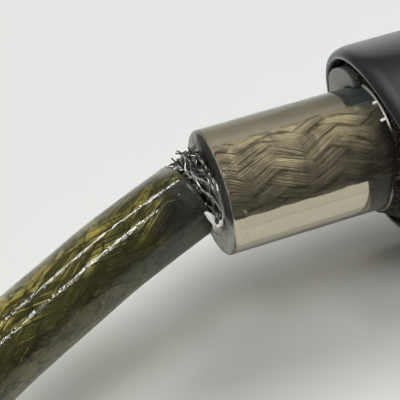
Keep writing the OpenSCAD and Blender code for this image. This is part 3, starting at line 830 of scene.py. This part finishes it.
def gloom(spokes, along):
    """Painted shade and light on the tube's braid: darker along its lower side and towards the
    gland, where the collar shades it, and lighter on its upper side between about 5 and 7 mm in.
    """
    low = spokes @ TUBE_LOW
    pale = 0.9 * ease(along, 4.6, 5.4) * (1 - ease(along, 6.2, 7.2)) * ease(-low, 0.1, 0.35)
    dark = np.maximum(0.45 * ease(low, -0.1, 0.3), 0.97 * ease(along + 1.1 * low, 6.9, 7.8))
    return dark - pale


def stations(start, end, step):
    return np.linspace(start, end, max(3, int((end - start) / step)))


def braid_lines(route, span, lay, step, seed, dirt, dullest, uneven, shadow):
    """Lines and shades of every wire of a braid round a route: plaits differ down to dullest,
    their wires by uneven, and both are darker by shadow where they dip, and by darkening, which
    gives dirt and painted light and shade along the braid."""
    rng = random.Random(seed)
    lines, shades = [], []
    s = stations(*span, step)
    centre, _, n, b = route.at(s)
    for hand in (1, -1):
        for own in range(PLAITS):
            tone = rng.uniform(dullest, BRIGHTEST)
            astray = ASTRAY * np.sin(s * rng.uniform(0.5, 1.1) + rng.uniform(0, TAU))
            for k in range(WIRES):
                offset = (k - (WIRES - 1) / 2) / WIRES * PLAIT_FILL
                # An edge wire of a plait goes darker in places: painted shade between the plaits.
                rim = 1.0
                if k in (0, WIRES - 1):
                    phase = rng.uniform(0, TAU)
                    rim = 1 - 0.8 * ease(np.sin(s * rng.uniform(1.2, 2.2) + phase), -0.3, 0.5)
                dirt_taken = CLEANER_BY if rng.random() < CLEANER_SHARE else 1.0
                wander = rng.uniform(-WANDER, WANDER) * np.sin(
                    s * rng.uniform(0.4, 1.0) + rng.uniform(0, TAU)
                )
                aside = (own + offset + wander + astray) * TAU / PLAITS
                angle = aside + hand * TAU * s / lay
                crossed = own + offset + hand * 2 * PLAITS * s / lay
                lift = plait_lift(hand, own, crossed)
                r = MID_R + LIFT * lift
                r = np.minimum(r + rng.uniform(-0.012, 0.008), BRAID_R - WIRE_R)
                spokes = np.cos(angle)[:, None] * n + np.sin(angle)[:, None] * b
                lines.append(centre + r[:, None] * spokes)
                shade = rim * min(1, max(0.05, tone + rng.uniform(-uneven, uneven)))
                shade = shade * (1 - shadow + shadow * ease(lift, -0.7, 0.9))
                shades.append(shade * (1 - dirt_taken * dirt(spokes, s)))
    return lines, np.concatenate(shades)


def braid_ribbons(name, route, span, lay, step, finish, seed):
    """The same braid with each plait as one flat strip, for cable that lies further off."""
    rng = random.Random(seed)
    s = stations(*span, step)
    centre, _, n, b = route.at(s)
    half = 0.46 * PLAIT_FILL * TAU / PLAITS
    # The strip's four edges: angle aside, height over the plait's middle, place across it
    ring = [(-half, 0.0, 0.0), (0.0, WIRE_R, 0.5), (half, 0.0, 1.0), (0.0, -WIRE_R, 0.5)]
    last = 4 * (len(s) - 1)
    strip_faces = hoop_faces(len(s), 4, False) + [(3, 2, 1, 0), tuple(range(last, last + 4))]
    points, faces, shades, across = [], [], [], []
    for hand in (1, -1):
        for own in range(PLAITS):
            tone = rng.uniform(0.2, BRIGHTEST)
            bearing = own * TAU / PLAITS + hand * TAU * s / lay
            crossed = own + hand * 2 * PLAITS * s / lay
            middle = MID_R + LIFT * plait_lift(hand, own, crossed)
            strip = np.stack([
                centre + (middle + out)[:, None] * (
                    np.cos(bearing + aside)[:, None] * n + np.sin(bearing + aside)[:, None] * b
                )
                for aside, out, _ in ring
            ], 1).reshape(-1, 3)
            base = len(strip) * len(points)
            faces += [tuple(base + v for v in face[::-1]) for face in strip_faces]
            points.append(strip)
            shades += [tone] * len(strip)
            across += [a for _, _, a in ring] * len(s)
    return shell(name, np.concatenate(points), faces, finish, shade=shades, across=across)


# ---- the cable
CONDUIT_R, CONDUIT_BORE = 0.95, 0.6
JACKET_BORE = 1.0


def cable_stops(near_step, far_step, start=0.0):
    """Distances along the cable: close together where it is seen near by."""
    total = CABLE.length
    return np.concatenate([
        [start, start + PIPE_EDGE], np.arange(start + near_step, NEAR_RUN, near_step),
        np.linspace(NEAR_RUN, total - PIPE_EDGE, int((total - NEAR_RUN) / far_step)), [total],
    ])


JACKET_STOPS = cable_stops(0.3, 1.0, TORN_BACK)


def keep_on_handle(*pieces):
    """Fixes each piece to the handle; the slot named with each piece is not used."""
    for piece, slot in pieces:
        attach(piece, "handle")


def make_cable():
    jacket = pipe_along("cable_jacket", CABLE, JACKET_STOPS, JACKET_R, JACKET_BORE, 48, JACKET)
    core = pipe_along(
        "cable_conduit", CABLE, cable_stops(1.0, 1.5), CONDUIT_R, CONDUIT_BORE, 20, CONDUIT_STEEL
    )
    lines, shades = braid_lines(
        CABLE, (0.12, NEAR_RUN), CABLE_LAY, 0.28, 5, damp, dullest=0.15, uneven=0.35, shadow=0.75
    )
    near = swept("cable_braid_near", lines, WIRE_R, WIRE_SIDES, CABLE_BRAID, shades)
    far = braid_ribbons(
        "cable_braid_far", CABLE, (NEAR_RUN, CABLE.length - 0.3), CABLE_LAY, 0.8, CABLE_BRAID, 6
    )
    keep_on_handle(
        (jacket, "cable_jacket"), (core, "conduit_steel"), (near, "braid"), (far, "braid")
    )
    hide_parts("cable_free", "cable_coil")
    return jacket, [core, near, far]


jacket, inner_pieces = make_cable()


# ---- strain relief and gland
RELIEF_R, RELIEF_LEN, RELIEF_EDGE = 2.9, 12.98, 0.17
RELIEF_BORE, RELIEF_SIDES = 1.0, 256
SEAM_BEARING = 167.3  # where the tube's moulding line runs, in degrees


def arc(s, r, radius, start, end, count=6):
    angles = np.radians(np.linspace(start, end, count))
    return [(s + radius * math.cos(a), r + radius * math.sin(a)) for a in angles]


def make_relief():
    """The clear tube, with the marks that its end and wall carry, some of them painted shade, and
    the braid inside it.
    """
    e, length, bore = RELIEF_EDGE, RELIEF_LEN, RELIEF_BORE
    angles = round_angles(RELIEF_SIDES)
    degrees = np.degrees(angles)
    wall = RELIEF_R - 0.02 * bell(degrees, SEAM_BEARING, 1.0)
    off = OFF_MIDDLE * np.cos(angles - OFF_BEARING)
    profile = (
        [(0.0, r) for r in (bore + off, 1.25 + off * 0.6, 1.5, 1.75, 2.0, 2.25, 2.5)]
        + arc(e, RELIEF_R - e, e, 180, 90)
        + [(k, wall) for k in np.linspace(0.5, length - 0.5, 14)]
        + arc(length - e, RELIEF_R - e, e, 90, 0)
        + [(length, 1.9), (length, bore)]
        + [(k, bore + off * (1 - ease(k, 8, 12))) for k in np.linspace(length - 1, 1, 12)]
    )

    def on_end(pattern):
        return np.concatenate([(s <= 0.06) * pattern for s, _ in profile])

    def on_wall(pattern, start, end):
        return np.concatenate([
            np.max(r > RELIEF_R - 0.05) * ease(s, start, end) * pattern for s, r in profile
        ])

    # Where the end face is darkened: grime and the torn wires' painted shadow.
    sooty = ease(degrees, 42, 62) * (1 - ease(degrees, 155, 172))
    cool = ease(degrees, 38, 50) * (1 - ease(degrees, 84, 94))
    # Painted shade of the collar, on the near side towards the gland.
    dim = ease(degrees, 98, 116) * (1 - ease(degrees, 176, 190))
    brown = 0.28 * ease(degrees, 135, 145) * (1 - ease(degrees, 166.5, 168))
    brown = brown + 0.5 * bell(degrees, SEAM_BEARING, 0.9)
    tube = turned(
        "relief_tube", profile, CLEAR_TUBE, RELIEF_SIDES, soot=on_end(0.2 + 0.8 * sooty),
        cool=on_wall(cool, 6.3, 7.3), dim=on_wall(0.85 * dim, 6.7, 7.9),
        brown=on_wall(brown, 0.1, 0.6), specks=on_wall(ease(degrees, 80, 95), 1.7, 0.5),
    )
    lines, shades = braid_lines(
        TUBE, (0.02, 14.9), TUBE_LAY, 0.25, 11, gloom, dullest=0.5, uneven=0.17, shadow=0.35
    )
    braid = swept("relief_braid", lines, WIRE_R, WIRE_SIDES, TUBE_BRAID, shades)
    keep_on_handle((tube, "clear_tube"), (braid, "braid"))
    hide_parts("strain_relief_tube")
    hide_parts("braid_sleeve")


make_relief()


# ---- collar
MOUTH, COLLAR_END = 8.0, 26.0
COLLAR_R, BORE_R = 4.75, 4.25
SLANT, SLANT_TURN = math.tan(math.radians(9.75)), math.radians(23)
ROUND = round_angles()
DEGREES = (np.degrees(ROUND) + 180) % 360 - 180


def mouth_plane(r):
    """Where the collar's slanted mouth lies at the radius r, for every angle."""
    dip = 0.32 * bell(DEGREES, 150, 36)
    return MOUTH - SLANT * r * np.sin(ROUND + SLANT_TURN) + dip


LIP_EDGE, LIP_LEN = 0.36, 0.8  # how far the lip rounds off, crosswise and lengthwise
GROOVE_R, GROOVE_HALF = 0.25, 0.27
REAR_EDGE = 0.06
RIB_COUNT, RIB_START, RIB_PITCH, RIB_DEPTH = 22, 0.3, 0.13, 0.035


def make_collar():
    """The collar: a rounded, slanted lip, two grooves at its rear, and fine ribs in its mouth."""
    length = COLLAR_END - MOUTH

    def place(t, r):
        fade = 1 - ease(t, 0.0, 3.5)
        return MOUTH + t + (mouth_plane(r) - MOUTH) * fade, r

    lip = [
        (LIP_LEN * (1 + math.sin(a)), COLLAR_R - LIP_EDGE + LIP_EDGE * math.cos(a))
        for a in np.radians(np.linspace(-90, 0, 10))
    ]
    body = [(t, COLLAR_R) for t in (1.2, 1.8, 2.6, 3.5, 6, 10, 14)]
    grooves = []
    for at in (length - 3, length - 1.8):
        grooves += [(at - GROOVE_HALF, COLLAR_R)] + [
            (at - GROOVE_R * math.cos(a), COLLAR_R - GROOVE_R * math.sin(a))
            for a in np.radians(np.linspace(8, 172, 9))
        ] + [(at + GROOVE_HALF, COLLAR_R)]
    rear = [(length - REAR_EDGE, COLLAR_R), (length, COLLAR_R - REAR_EDGE), (length, BORE_R)]
    bore = [(t, BORE_R) for t in (14, 8, 4)]
    ribs = []
    for k in range(RIB_COUNT, 0, -1):
        at = RIB_START + RIB_PITCH * k
        ribs += [(at, BORE_R), (at - RIB_PITCH / 2, BORE_R + RIB_DEPTH)]
    mouth = [
        (0.25, BORE_R), (0.06, BORE_R), (0.02, BORE_R + 0.02), (0.0, BORE_R + 0.06),
        (0.0, BORE_R + 0.1),
    ]
    whole = lip + body + grooves + rear + bore + ribs + mouth
    # Bearings where the lip's painted highlight and shade fall, and the mouth edge's painted
    # highlight.
    near_side = ease(DEGREES, 80, 104) * (1 - ease(DEGREES, 150, 180))
    top_side = ease(DEGREES, 15, 45) * (1 - 0.85 * ease(DEGREES, 82, 100))
    top_side = top_side * (1 - ease(DEGREES, 125, 150))
    dim_side = ease(DEGREES, 45, 75) * (1 - ease(DEGREES, 150, 180))

    def on_lip(most, middle, width, pattern):
        """A band round the lip's outside, strongest at the given distance from the mouth."""
        band = [
            (k < len(lip) + 2) * most * bell(t, middle, width) for k, (t, _) in enumerate(whole)
        ]
        return np.outer(band, pattern).ravel()

    # The mouth's inner edge, which carries a painted highlight on its top side.
    rim = [float(k >= len(whole) - 4) for k in range(len(whole))]
    collar = turned(
        "collar_shell", [place(t, r) for t, r in whole], COLLAR_BLACK,
        crest=on_lip(0.62, 0.5, 0.15, near_side),
        hollow=on_lip(0.9, 0.14, 0.17, np.maximum(near_side, dim_side)),
        rim=np.outer(rim, top_side).ravel(),
    )
    keep_on_handle((collar, "black_collar"))
    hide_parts("tail_collar")


make_collar()


GLAND_EDGE = (  # bearing and radius of the edge of the gland's flat face
    (-180, -75, -68, 12, 34, 44, 51, 57, 62, 180),
    (3.1, 3.1, 4.17, 4.17, 3.91, 3.8, 3.7, 3.5, 3.1, 3.1),
)
GLAND_BORE, GLAND_BACK = 2.92, 13.0
HOLE_R, SLOPE_R, SLOPE_WIDTH = 3.06, 4.1, 1.04  # the sunk face slopes from the hole outwards
FOOT_R, STEP_AT = 4.22, 11.5  # the foot that fills the collar's bore
SEAT_IN, SEAT_OUT, SEAT_EDGE = 2.91, 3.03, 0.03


def make_gland():
    """The gland: a flat face, level with the mouth and cut off along a chord, that is sunk on
    the near side; and the thin ring that seats the tube in it."""
    level = (1 - ease(DEGREES, 59, 62)) * ease(DEGREES, -75, -68)
    reach = np.interp(DEGREES, *GLAND_EDGE)
    seat = 7.9 - 0.38 * ease(DEGREES, 125, 175) - 0.38 * (1 - ease(DEGREES, -120, -20))
    hole = HOLE_R - 0.13 * level
    slope = (reach + SLOPE_R) / 2

    def sunk(r):
        return seat + (mouth_plane(SLOPE_R) + 0.6 - seat) * (r - HOLE_R) / SLOPE_WIDTH

    def face(r):
        return sunk(r) + (mouth_plane(r) - 0.02 - sunk(r)) * level

    # Each ring has its place, its radius, and how far it belongs to the lit face; -1 is the bore
    rings = [
        (GLAND_BACK, GLAND_BORE, -1), (seat + 0.2, GLAND_BORE, -1), (seat + 0.2, HOLE_R, 0),
        (face(hole) + 0.03, hole, 0),
    ]
    for part in (0, 0.35, 0.7, 0.95):
        r = hole + 0.03 + (reach - hole - 0.03) * part
        rings.append((face(r), r, 1))
    rings += [
        (face(reach) + 0.03, reach - 0.004, 0.9), (face(reach) + 0.08, reach, 0.35),
        (np.maximum(face(reach) + 0.09, sunk(reach) - 0.02), reach + 0.004, 0),
        (sunk(slope), slope, 0), (sunk(SLOPE_R), SLOPE_R, 0),
        (sunk(SLOPE_R) + 0.9, 3.95, 0), (STEP_AT - 0.1, 3.88, 0), (STEP_AT, 3.96, 0),
        (STEP_AT, FOOT_R, 0), (GLAND_BACK, FOOT_R, 0),
    ]
    lit = np.concatenate([
        ease(level, 0.6, 1) * part if part > 0 else level * 0 + part for _, _, part in rings
    ])
    gland = turned("gland_block", [(s, r) for s, r, _ in rings], GLAND, lit=lit)
    # Where the ring carries its painted highlight.
    rubbed = ease(DEGREES, 60, 63) * (1 - ease(DEGREES, 106, 124))
    rubbed = rubbed + 0.3 * (1 - ease(DEGREES, -170, -120)) + 0.3 * ease(DEGREES, 165, 180)
    band_rings = [
        (seat + 0.14, SEAT_IN), (seat, SEAT_IN), (seat - 0.035, SEAT_IN + SEAT_EDGE),
        (seat - 0.035, SEAT_OUT - SEAT_EDGE), (seat, SEAT_OUT), (seat + 0.14, SEAT_OUT),
    ]
    band = turned("seat_band", band_rings, SEAT_GOLD, lit=np.tile(rubbed, len(band_rings)))
    # The burrs' finish glows a little: a painted glint.
    burrs = []
    for bearing, reach_out in ((91.5, 0.2), (109.0, 0.24)):
        b = math.radians(bearing)
        foot = np.array([7.84, SEAT_OUT * math.cos(b), SEAT_OUT * math.sin(b)])
        aside = np.array([0.0, -math.sin(b), math.cos(b)])
        out_of = np.array([0.0, math.cos(b), math.sin(b)])
        burrs.append(smooth([
            TUBE_END + foot + out_of * 0.02,
            TUBE_END + foot + out_of * 0.04 - (reach_out * 0.5, 0, 0) + aside * 0.02,
            TUBE_END + foot + out_of * 0.03 - (reach_out, 0, 0) + aside * 0.05,
        ], 0.04))
    girths = np.concatenate([np.linspace(1.5, 0.5, len(line)) for line in burrs])
    burr = swept("seat_burrs", burrs, 0.06, 10, BURR, girths=girths)
    keep_on_handle((gland, "gland_rubber"), (band, "brass"), (burr, "brass"))
    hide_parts("gland_plug")
    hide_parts("seat_ring")


make_gland()


# ---- torn braid in the crack
CUT = CABLE.at(TORN_BACK)[0]
CUT_DIR = CABLE.t[0]
WIDE_TO = 1.35  # bearing, in radians, up to which the crack is wide
CURL_TOP = 1.85  # how far out most of the loose wires curl
LOOSE_WIRE_R = 0.037
BRIGHT_SHARE, BRIGHT, DULL = 0.42, (0.35, 0.95), (0, 0.14)  # shades of the loose wires


def crack_point(part, r, angle):
    """A point in the crack: part runs from 0 at the tube's end face to 1 at the cable's."""
    c, d = r * math.cos(angle), r * math.sin(angle)
    tube = TUBE_END + np.array([-0.05, c, d])
    cable = CUT + c * CABLE.n[0] - d * CABLE.b[0]
    return tube + (cable - tube) * part


def fray_lines():
    """Tufts of loose wires that bend out of both ends of the braid and curl in the crack."""
    rng = random.Random(41)
    lines, shades = [], []

    def tuft(path, wires, spread):
        """Wires that follow a path of (part, radius, bearing), each a little off it and cut."""
        for _ in range(wires):
            off = [rng.uniform(-spread, spread) for _ in range(3)]
            cut = rng.uniform(0.65, 1.0)
            points = []
            for k, (part, r, angle) in enumerate(path):
                loose = 0.4 + 0.6 * k / (len(path) - 1)
                points.append(crack_point(
                    part + 1.2 * off[0] * loose + rng.uniform(-0.03, 0.03),
                    r + off[1] * loose + rng.uniform(-0.02, 0.02),
                    angle + off[2] * loose + rng.uniform(-0.02, 0.02),
                ))
            line = smooth(points, 0.08)
            lines.append(line[: max(4, int(len(line) * cut))])
            shades.append(rng.uniform(*(BRIGHT if rng.random() < BRIGHT_SHARE else DULL)))

    def wander(part, r, angle, steps, swing, outwards, top=CURL_TOP):
        """A path that strays from its start, round the cable by about swing at each step."""
        path = [(part, r, angle)]
        for _ in range(steps):
            far = 0.74 if angle < WIDE_TO and r > 1.55 else 0.96
            part = min(far, max(0.04, part + rng.uniform(-0.32, 0.32)))
            r = min(top, max(0.98, r + rng.uniform(-0.16, 0.16) + outwards))
            angle += swing * rng.uniform(0.5, 1.3)
            path.append((part, r, angle))
        return path

    for k in range(26):
        angle = math.radians(rng.uniform(20, 215))
        swing = rng.choice((-1, 1)) * rng.uniform(0.1, 0.34)
        start = 0.02 if k % 2 or angle < WIDE_TO else 0.96
        path = wander(
            start, rng.uniform(1.0, 1.3), angle, rng.randint(3, 5), swing, rng.uniform(0.02, 0.16)
        )
        tuft(path, rng.randint(4, 7), 0.07)
    # Loose wires that curl on top of them, along the crack
    for low_part, high_part, low_r, high_r, first, last, count in (
        (0.0, 0.7, 1.35, 1.85, 35, 205, 78), (0.55, 0.95, 1.0, 1.55, 28, 95, 34),
        (0.15, 0.72, 1.75, 2.3, 50, 80, 26),
    ):
        for _ in range(count):
            angle = math.radians(rng.uniform(first, last))
            swing = rng.choice((-1, 1)) * rng.uniform(0.08, 0.42)
            start = rng.uniform(low_part, high_part)
            path = wander(
                start, rng.uniform(low_r, high_r), angle, rng.randint(3, 6), swing, 0.02,
                max(CURL_TOP, high_r),
            )
            tuft(path, 1, 0)
    # Longer ones that sweep round from the wide side of the crack to the tube's end
    for path in (
        ((0.62, 1.75, 45), (0.4, 1.95, 58), (0.16, 2.0, 78), (0.06, 1.8, 104), (0.12, 1.6, 126)),
        ((0.5, 1.6, 40), (0.3, 1.85, 56), (0.1, 1.9, 76), (0.1, 1.7, 98)),
        ((0.7, 1.6, 62), (0.5, 1.85, 80), (0.3, 1.9, 100), (0.14, 1.75, 122)),
        ((0.85, 1.5, 92), (0.6, 1.85, 108), (0.3, 1.9, 128), (0.1, 1.8, 150), (0.1, 1.6, 168)),
        ((0.8, 1.6, 112), (0.5, 1.9, 132), (0.2, 1.85, 152), (0.2, 1.7, 172)),
        (
            (0.02, 1.65, 98), (0.02, 1.85, 120), (0.02, 1.9, 142), (0.03, 1.85, 163),
            (0.06, 1.7, 178),
        ),
        ((0.9, 1.5, 140), (0.7, 1.8, 156), (0.4, 1.85, 176), (0.3, 1.7, 194)),
    ):
        for _ in range(2):
            tuft([(part, r, math.radians(angle)) for part, r, angle in path], 1, 0.06)
            shades[-1] = rng.uniform(0.5, 0.95)
    # Ends that stand out of the wide side of the crack
    for angle, part, reach in (
        (68, 0.75, 2.37), (66, 0.6, 2.49), (50, 0.3, 2.64), (64, 0.3, 2.46), (74, 0.5, 2.73),
        (72, 0.3, 2.46), (70, 0.2, 2.31), (72, 0.12, 2.01), (78, 0.7, 2.46), (88, 0.05, 1.92),
        (50, 0.53, 1.86), (70, 0.66, 2.2), (60, 0.45, 2.3),
    ):
        a = math.radians(angle)
        foot = max(0.08, part - 0.15)
        path = [
            (foot, 1.1, a + 0.4), (foot, 1.5, a + 0.26), (part, (1.6 + reach) / 2, a + 0.1),
            (part, reach, a),
        ]
        tuft(path, rng.randint(1, 3), 0.04)
    return lines, np.repeat(shades, [len(line) for line in lines])


FLAKE_OUT = unit(np.array([-0.2275, -0.5926, 0.7727]))
FLAKE_RIGHT = np.array([0.9336, -0.3584, 0.0])
FLAKE_UP = np.cross(FLAKE_OUT, FLAKE_RIGHT)
FLAKE_AT = TUBE_END + np.array([-0.54, -1.83, 0.33]) + FLAKE_OUT * 0.3


def make_flake():
    """A torn scrap of white filler, caught in the narrow side of the crack."""
    outline = [
        (-0.42, 0.42), (-0.31, 0.5), (-0.15, 0.42), (0.0, 0.32), (0.06, 0.2), (0.05, 0.02),
        (0.15, -0.11), (0.25, -0.05), (0.26, 0.07), (0.36, 0.14), (0.42, 0.04), (0.4, -0.11),
        (0.32, -0.23), (0.4, -0.36), (0.35, -0.44), (0.2, -0.49), (0.02, -0.43), (-0.03, -0.29),
        (0.0, -0.16), (-0.16, 0.04), (-0.31, 0.22),
    ]
    rng = random.Random(8)
    layers = ((0.07, 0.88), (0.045, 0.97), (0.0, 1.0), (-0.05, 0.93))  # height, and size there
    points = []
    for height, grow in layers:
        points += [
            FLAKE_AT + FLAKE_RIGHT * (x * grow) + FLAKE_UP * (y * grow)
            + FLAKE_OUT * (height + rng.uniform(-0.015, 0.015))
            for x, y in outline
        ]
    count = len(outline)
    faces = hoop_faces(len(layers), count, False)
    faces += [tuple(range(count))[::-1], tuple(range(len(points) - count, len(points)))]
    folded = [float(y < -0.2) for _, y in outline] * len(layers)
    return shell("torn_flake", points, faces, FLAKE, folded=folded)


def make_fray():
    lines, shades = fray_lines()
    wires = swept("frayed_wires", lines, LOOSE_WIRE_R, 6, TORN_WIRE, shades)
    bend = smooth([
        TUBE_END + (0.4, 0, 0), TUBE_END + (0.05, 0, 0), CUT - CUT_DIR * 0.02, CUT + CUT_DIR * 0.4
    ], 0.1)
    core = swept("bent_conduit", [bend], CONDUIT_R, 28, DARK_STEEL)
    flake = make_flake()
    keep_on_handle((wires, "torn_braid"), (core, "conduit_steel"), (flake, "torn_braid"))
    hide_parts("frayed_braid")


make_fray()


# ---- the return spring
def make_spring():
    turns, start, length, travel = 10, 21.69, 18.81, 9.0
    wire, mean = 0.25, 2.1
    t = np.linspace(0, 1, turns * 24 + 1)
    angle = TAU * turns * t
    line = TUBE_END + np.stack([
        start + wire + (length - 2 * wire) * t, mean * np.cos(angle), mean * np.sin(angle)
    ], -1)
    spring = swept("spring_wire", [line], wire, 8, STEEL)
    keep_on_handle((spring, "spring_steel"))
    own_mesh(spring)
    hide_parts("return_spring")


make_spring()


# ---- table, lights and world
def make_floor():
    far = 9  # metres to each side, so that the table fills every view
    mesh = bpy.data.meshes.new("table")
    mesh.from_pydata(
        [(-far, -far, 0), (far, -far, 0), (far, far, 0), (-far, far, 0)], [], [(0, 1, 2, 3)]
    )
    table = new_object("table", mesh, floor_finish())


make_floor()

FLOOR_LIGHT = 3.2  # what reaches the table where nothing shades it, in W per square metre
LAMP_DISTANCE = 3.0
LAMPS = [  # elevation, bearing, share of the table's light, half width and half height in radians
    ("box_right", 46.5, 15.0, 0.38, 0.25, 0.11),
    ("box_left_high", 70.0, -152.0, 0.235, 0.15, 0.15),
    ("box_left", 45.0, -180.0, 0.16, 0.2, 0.16),
    ("box_left_back", 46.0, 150.0, 0.05, 0.12, 0.12),
    ("strip_back", 56.2, 90.5, 0.068, 0.13, 0.027),
    ("strip_back_end", 61.3, 104.9, 0.01, 0.02, 0.024),
    ("strip_above", 79.7, -17.0, 0.046, 0.047, 0.037),
    ("strip_above_end", 77.7, -46.3, 0.013, 0.02, 0.027),
]


def make_lamps():
    centre = Vector((-0.035, 0, 0.005))
    for name, elevation, bearing, share, half_w, half_h in LAMPS:
        e, a = math.radians(elevation), math.radians(bearing)
        toward = Vector((math.cos(e) * math.cos(a), math.cos(e) * math.sin(a), math.sin(e)))
        light = bpy.data.lights.new(name, "AREA")
        strip = name.startswith("strip")
        light.shape = "RECTANGLE" if strip else "ELLIPSE"
        light.size, light.size_y = 2 * LAMP_DISTANCE * half_w, 2 * LAMP_DISTANCE * half_h
        light.energy = share * FLOOR_LIGHT * math.pi * LAMP_DISTANCE**2 / math.sin(e)
        lamp = bpy.data.objects.new(name, light)
        bpy.context.collection.objects.link(lamp)
        right = Vector((1, 0, 0)) if strip else Vector((-math.sin(a), math.cos(a), 0))
        up = toward.cross(right).normalized()
        right = up.cross(toward)
        turn = Matrix((right, up, toward)).transposed().to_4x4()
        lamp.matrix_world = Matrix.Translation(centre + toward * LAMP_DISTANCE) @ turn


make_lamps()


def make_world():
    """A room whose walls are pale low down, at the back most of all, and dark overhead."""
    world = bpy.data.worlds.new("room")
    bpy.context.scene.world = world
    world.use_nodes = True
    tree = world.node_tree
    tree.nodes.clear()
    new = tree.nodes.new
    output, background = new("ShaderNodeOutputWorld"), new("ShaderNodeBackground")
    where, parts = new("ShaderNodeTexCoord"), new("ShaderNodeSeparateXYZ")
    height, depth = new("ShaderNodeValToRGB"), new("ShaderNodeMapRange")
    for stop, (at, grey) in zip(height.color_ramp.elements, ((0.12, 0.5), (0.32, 0.014))):
        stop.position, stop.color = at, (grey, grey, grey, 1)
    for key, value in {1: -0.1, 2: 0.7, 3: 0.12, 4: 1.0}.items():
        depth.inputs[key].default_value = value
    link_up(
        tree,
        (where, "Generated", parts, 0), (parts, "Z", height, 0), (parts, "Y", depth, 0),
        (height, 0, background, "Color"), (depth, 0, background, "Strength"),
        (background, 0, output, "Surface"),
    )


make_world()
scene = bpy.context.scene
scene.view_settings.view_transform = "Standard"
scene.view_settings.look = "None"
